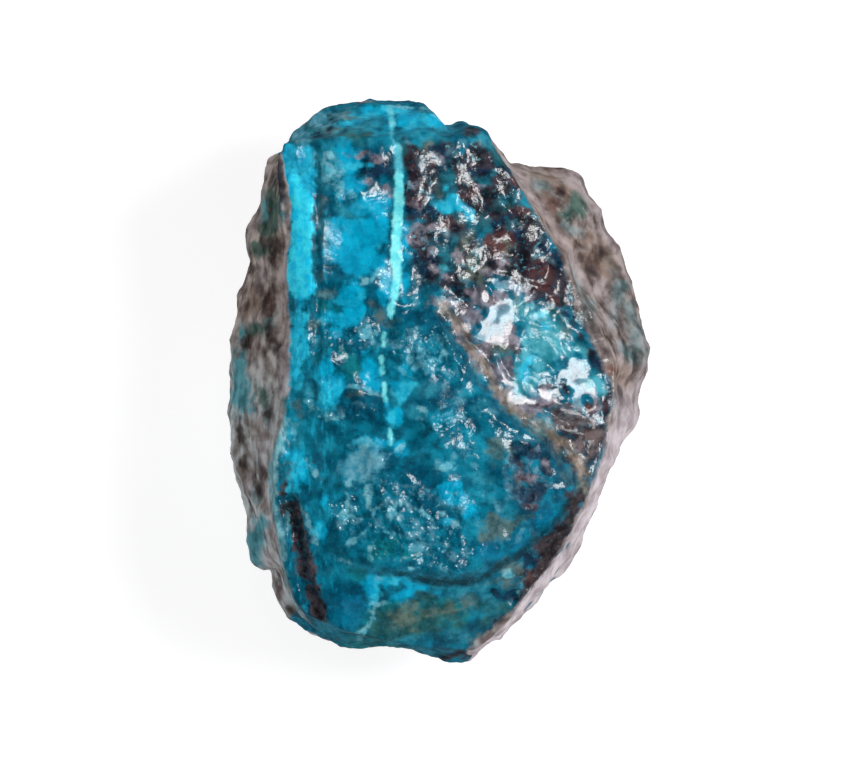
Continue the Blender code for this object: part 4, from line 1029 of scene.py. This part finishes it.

# The flanks are browner on the right, paler at the lower left, and palest at the lower right, where the
# paleness is partly pale rock and partly painted light from the glowing table.
fields["right"] = smooth_step(x + 0.15 * y, -4, 6)
fields["low_left"] = smooth_step(-y - 0.3 * x, -2, 10) * (1 - fields["right"])
fields["low_right"] = smooth_step(0.75 * x - 0.66 * y, 14, 21) * smooth_step(level, 0.95, 1.2)
fields["low_right"] *= 1 - smooth_step(level - 0.2 * wander, 1.9, 2.5)
for name, field in fields.items():
    layer = stone_mesh.attributes.new(name, "FLOAT", "POINT")
    layer.data.foreach_set("value", np.clip(np.append(field, field[-1]), -2, 4).astype(np.float32))
bed = np.column_stack([x / LAYER_LENGTH, y / LAYER_LENGTH, level * LAYERS])
layer = stone_mesh.attributes.new("bed", "FLOAT_VECTOR", "POINT")
layer.data.foreach_set("vector", np.vstack([bed, bed[-1:]]).astype(np.float32).ravel())

# Wet chrysocolla: hydrous copper silicate, a waxy blue-green mineral that is broken, not polished.
# Copper gives the blues, iron oxides the browns, and the film of water on it a clear glossy coat.
TONES = {  # darker and lighter colour of each kind, softness and raggedness of its edge in millimetres, cover
    "teal": ("01526a", "077c97", 0.3, 0.0, 1.0),
    "teal_light": ("0a809c", "1a9cb8", 1.1, 1.2, 0.8),
    "deep": ("013f56", "015b78", 0.9, 1.0, 0.85),
    "blue": ("015c7e", "04799c", 0.9, 1.2, 0.85),
    "green": ("04606c", "0c8488", 0.9, 1.2, 0.7),
    "sky": ("0096be", "04b4dc", 0.7, 1.0, 0.95),
    # Partly hazy mineral, partly painted sheen round glints and painted light on the shaded top bevel.
    "haze": ("148299", "46a8bc", 1.2, 1.3, 0.5),
    "moss": ("10464a", "366560", 1.1, 1.3, 0.8),
    # Partly frosted mineral, partly painted light on the shaded top bevel.
    "frost": ("3c98b4", "7cbed2", 0.9, 0.9, 0.85),
    "dusk": ("1a222c", "3c4048", 1.2, 1.4, 0.7),
    "dark": ("171219", "40363f", 0.7, 1.0, 0.92),
    "rust": ("38202a", "603a36", 0.8, 1.2, 0.85),
    "tan": ("465a52", "788070", 1.0, 1.3, 0.6),
    "navy": ("06162a", "1c3650", 0.6, 1.0, 0.9),
    "dim_teal": ("0c4454", "22788a", 0.8, 1.2, 0.85),
    "turquoise": ("2a8a9a", "56b2c2", 0.7, 1.0, 0.9),
    # Partly grey-pink mineral, partly painted glints on the dark matrix.
    "mauve": ("655e68", "a69ca8", 0.6, 1.0, 0.8),
    "umber": ("3a2e30", "7a6a68", 0.9, 1.3, 0.8),
    "cyan": ("12a8cc", "3accea", 0.5, 0.8, 0.9),
    "band_bits": ("10b0d8", "34d4f4", 0.6, 0.9, 0.9),
    # Partly pale mineral, partly painted highlight dashes on the wet lobe.
    "pale": ("54c0d8", "a4e6f2", 0.5, 0.9, 0.6),
    # Painted highlight: a pale soft halo laid under each glint.
    "glints": ("5cb0c8", "a4d6e4", 0.5, 0.7, 0.3),
    "shade": ("01435a", "015872", 1.6, 0.9, 0.6),
    "rim": ("665c50", "a8988a", 1.1, 1.5, 0.8),
    # Painted shadow along the lobe's lower edge.
    "dark_edge": ("012e3a", "014656", 0.6, 0.5, 0.9),
    "dark_band": ("1c1518", "45383a", 0.9, 1.1, 0.95),
    "pale_edge": ("6cb4c2", "a8dce4", 0.7, 0.9, 0.85),
    # Painted shade beside the vein and in the groove by the band.
    "groove": ("013f50", "1a6678", 0.5, 0.6, 0.85),
    "band_dull": ("109cc4", "32c4e4", 0.7, 0.9, 0.9),
    "band": ("16c4f0", "42e8ff", 0.6, 0.9, 1.0),
    "crack": ("17131a", "5a4c50", 0.6, 1.5, 0.95),
    "vein_dull": ("48c8e0", "80e4f2", 0.5, 0.4, 0.85),
    "vein": ("62e2ee", "90f8fc", 0.4, 0.4, 1.0),
}
FLANK_TONES = {
    "flank_brown": ("4a3a32", "866e60", 1.0, 1.4, 0.7),
    "flank_green": ("163f3c", "3c665c", 0.9, 1.3, 0.85),
    "flank_teal": ("1a6e7c", "50a6b4", 0.9, 1.3, 0.9),
    "flank_dim": ("3c5f64", "7f9a9e", 1.2, 1.3, 0.7),
    "flank_rust": ("5a342c", "7c5044", 0.9, 1.2, 0.7),
    "flank_pale": ("7d7274", "aa9ea2", 1.1, 1.4, 0.7),
    "flank_pale_strip": ("8a7e7e", "b4a8a8", 1.1, 0.9, 0.8),
    "flank_dark": ("231a1b", "4a3b3a", 0.8, 1.1, 0.8),
    "flank_navy": ("101c2a", "2c3a48", 0.6, 0.8, 0.7),
}
material = bpy.data.materials.new("wet chrysocolla")
material.use_nodes = True
stone_mesh.materials.append(material)
tree = material.node_tree
shader = tree.nodes["Principled BSDF"]
place = add(tree, "TexCoord").outputs["Object"]
beds = add(tree, "Attribute", {"attribute_name": "bed"}).outputs["Vector"]
SMOOTH = {"interpolation_type": "SMOOTHSTEP"}
COLOURS, FLOATS = {"data_type": "RGBA"}, {"data_type": "FLOAT"}
TIMES, TIMES_PLUS = {"operation": "MULTIPLY"}, {"operation": "MULTIPLY_ADD"}


def grains(size, detail, shift):
    """Smooth noise with features about a size in millimetres, moved along X by a shift in millimetres."""
    moved = add(tree, "Mapping", inputs={"Vector": place, "Location": (shift * MM, 0, 0)}).outputs[0]
    settings = {"Vector": moved, "Scale": 1 / (size * MM), "Detail": detail}
    return add(tree, "TexNoise", inputs=settings).outputs[0]


def layered(stretch, detail, shift):
    """Smooth noise drawn out along the stone's layers by a stretch for each of their directions."""
    settings = {"Vector": beds, "Location": (shift, shift, shift), "Scale": stretch}
    moved = add(tree, "Mapping", inputs=settings).outputs[0]
    return add(tree, "TexNoise", inputs={"Vector": moved, "Scale": 1.0, "Detail": detail}).outputs[0]


def patches(size, detail, shift, low, high, most=1.0):
    """Irregular patches: grains, as a share that rises from 0 at low up to the most at high."""
    limits = {"Value": grains(size, detail, shift), "From Min": low, "From Max": high, "To Max": most}
    return add(tree, "MapRange", SMOOTH, limits).outputs[0]


def inside_share(name, softness, torn, reach, cover=1.0):
    """A mark's share at a point: its field plus twice the torn noise, less one, times the reach in mm."""
    field = add(tree, "Attribute", {"attribute_name": name}).outputs["Fac"]
    ragged = add(tree, "Math", TIMES_PLUS, {0: torn, 1: 2 * reach, 2: field}).outputs[0]
    low, high = reach - softness / 2, reach + softness / 2
    return add(
        tree, "MapRange", SMOOTH, {"Value": ragged, "From Min": low, "From Max": high, "To Max": cover}
    ).outputs[0]


def mineral(under, share, tone, darker, lighter):
    """A colour with a mineral laid over it by a share, which runs from darker to lighter with the tone."""
    own = add(tree, "Mix", COLOURS, {0: tone, 6: to_linear(darker), 7: to_linear(lighter)}).outputs[2]
    if under is None:
        return own
    return add(tree, "Mix", COLOURS, {0: share, 6: under, 7: own}).outputs[2]


# The blue face: each kind of mineral over those before it, some of them partly painted light or shade, with
# flecks, specks and a painted sparkle of highlights on top.
torn_edges = [grains(0.9 + 0.15 * k, 5.0, 11.0 + 17.0 * k) for k in range(4)]
tone = add(tree, "Math", TIMES_PLUS, {0: grains(0.5, 2.0, 0.0), 1: 0.35, 2: grains(1.3, 4.0, 7.0)}).outputs[0]
tone = add(tree, "MapRange", SMOOTH, {"Value": tone, "From Min": 0.5, "From Max": 0.86}).outputs[0]
colour = None
for number, (name, (darker, lighter, softness, reach, cover)) in enumerate(TONES.items()):
    share = inside_share(name, softness, torn_edges[number % 4], reach, cover) if colour else None
    colour = mineral(colour, share, tone, darker, lighter)
# Painted highlight: pale speckles over the beaded places, standing in for tiny glints of light on the wet
# film.
sparkle_places = inside_share("beads", 0.8, torn_edges[2], 0.6)
painted_sparkle = add(tree, "Math", TIMES, {0: patches(0.7, 2.0, 97.0, 0.6, 0.72, 0.45), 1: sparkle_places}).outputs[0]
for share, code in (
    (patches(0.42, 3.0, 61.0, 0.58, 0.76, 0.3), "12a0c0"),
    (patches(0.5, 3.0, 83.0, 0.6, 0.76, 0.35), "02303e"),
    (painted_sparkle, "7ccada"),
):
    colour = mineral(colour, share, tone, code, code)

# Fine strings of lighter and darker mineral run lengthways down the left of the face.
STRING_WIDTH, STRING_SQUEEZE, STRING_COVER = 0.5, 0.28, 0.35  # mm, scale lengthways, most share
strung = add(tree, "Mapping", inputs={"Vector": place, "Scale": (1, STRING_SQUEEZE, 1)}).outputs[0]
strings = {"Vector": strung, "Scale": 1 / (STRING_WIDTH * MM), "Detail": 3.0}
strings = add(tree, "TexNoise", inputs=strings).outputs[0]
stringy = add(tree, "Attribute", {"attribute_name": "stringy"}).outputs["Fac"]
for low, high, code in ((0.56, 0.42, "014e62"), (0.55, 0.7, "1cb4d4")):
    limits = {"Value": strings, "From Min": low, "From Max": high, "To Max": STRING_COVER}
    share = add(tree, "MapRange", SMOOTH, limits).outputs[0]
    share = add(tree, "Math", TIMES, {0: share, 1: stringy}).outputs[0]
    colour = mineral(colour, share, tone, code, code)

# The flanks: brown and grey host rock, patched with teal and dusky rock, least so on the right.
streaks, threads = layered((1.6, 1.6, 1.8), 5.0, 0.0), layered((3.0, 3.0, 4.5), 4.0, 5.0)
blotches = add(tree, "Math", TIMES_PLUS, {0: threads, 1: 0.15, 2: grains(1.8, 7.0, 51.0)}).outputs[0]
flank_tone = add(tree, "Math", TIMES_PLUS, {0: streaks, 1: 0.25, 2: blotches}).outputs[0]
limits = {"Value": flank_tone, "From Min": 0.49, "From Max": 0.88}
flank_tone = add(tree, "MapRange", SMOOTH, limits).outputs[0]
low_left, right, low_right = (
    add(tree, "Attribute", {"attribute_name": side}).outputs["Fac"]
    for side in ("low_left", "right", "low_right")
)
less_right = add(tree, "Math", TIMES_PLUS, {0: right, 1: -0.6, 2: 1.0}).outputs[0]
teal_rock, dusky_rock = (
    add(tree, "Math", TIMES, {0: patches(size, 5.0, shift, 0.56, high), 1: less_right}).outputs[0]
    for size, shift, high in ((5.0, 20.0, 0.72), (4.0, 33.0, 0.74))
)
# Partly pale rock and partly painted light: the lower right of the flanks is paled where the table's glow
# lights it.
pale_rock_and_painted_light = add(tree, "Math", TIMES_PLUS, {0: dusky_rock, 1: -1.2, 2: low_right}).outputs[0]
flank = mineral(None, None, flank_tone, "5c4d46", "bcb0aa")
flank = mineral(flank, low_left, flank_tone, "7c7470", "c4ccd0")
flank = mineral(flank, right, flank_tone, "4a3c37", "a69a98")
flank = mineral(flank, teal_rock, flank_tone, "2a5c62", "4f8f98")
flank = mineral(flank, dusky_rock, flank_tone, "33282a", "5c4c49")
flank_torn = grains(1.4, 5.0, 9.0)
for name, (darker, lighter, softness, reach, cover) in FLANK_TONES.items():
    share = inside_share(name, softness, flank_torn, reach, cover)
    flank = mineral(flank, share, flank_tone, darker, lighter)
flank = mineral(flank, pale_rock_and_painted_light, flank_tone, "a4989c", "d4cad0")
on_face = inside_share("face", 0.6, torn_edges[0], 0.6)
colour = add(tree, "Mix", COLOURS, {0: on_face, 6: flank, 7: colour}).outputs[2]
tree.links.new(colour, shader.inputs["Base Color"])

FLANK_ROUGHNESS, FACE_ROUGHNESS = 0.62, 0.4
dry = add(tree, "Mix", FLOATS, {0: on_face, 2: FLANK_ROUGHNESS, 3: FACE_ROUGHNESS}).outputs[0]
tree.links.new(dry, shader.inputs["Roughness"])
film = add(tree, "Attribute", {"attribute_name": "film"}).outputs["Fac"]
tree.links.new(film, shader.inputs["Coat Weight"])
shader.inputs["Specular IOR Level"].default_value = 0.05  # what shines is the film, not the stone
shader.inputs["Coat Roughness"].default_value = 0.15
shader.inputs["Coat IOR"].default_value = 1.52

# The finest relief, in millimetres: grit all over, a coarser roughness on the flanks, and ripples.
GRIT_HEIGHT, ROUGH_HEIGHT = 0.07, 0.2
grit = add(tree, "Math", TIMES, {0: grains(0.45, 3.0, 41.0), 1: GRIT_HEIGHT}).outputs[0]
rough = add(tree, "Math", TIMES, {0: grains(0.9, 4.0, 47.0), 1: ROUGH_HEIGHT}).outputs[0]
rough = add(tree, "Mix", FLOATS, {0: on_face, 2: rough, 3: 0.0}).outputs[0]
relief = add(tree, "Math", {"operation": "ADD"}, {0: rough, 1: grit}).outputs[0]
curls = inside_share("curls", 2.0, torn_edges[3], 0.8, 0.45)
relief = add(tree, "Math", TIMES_PLUS, {0: grains(0.8, 1.5, 57.0), 1: curls, 2: relief}).outputs[0]
gloss = inside_share("glare", 0.4, torn_edges[1], 0.3)
strength = add(tree, "Mix", FLOATS, {0: gloss, 2: 1.0, 3: 0.7}).outputs[0]
bump = add(tree, "Bump", inputs={"Height": relief, "Distance": MM, "Strength": strength})
for socket in ("Normal", "Coat Normal"):
    tree.links.new(bump.outputs[0], shader.inputs[socket])

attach(stone, "root")
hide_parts("chrysocolla_stone")
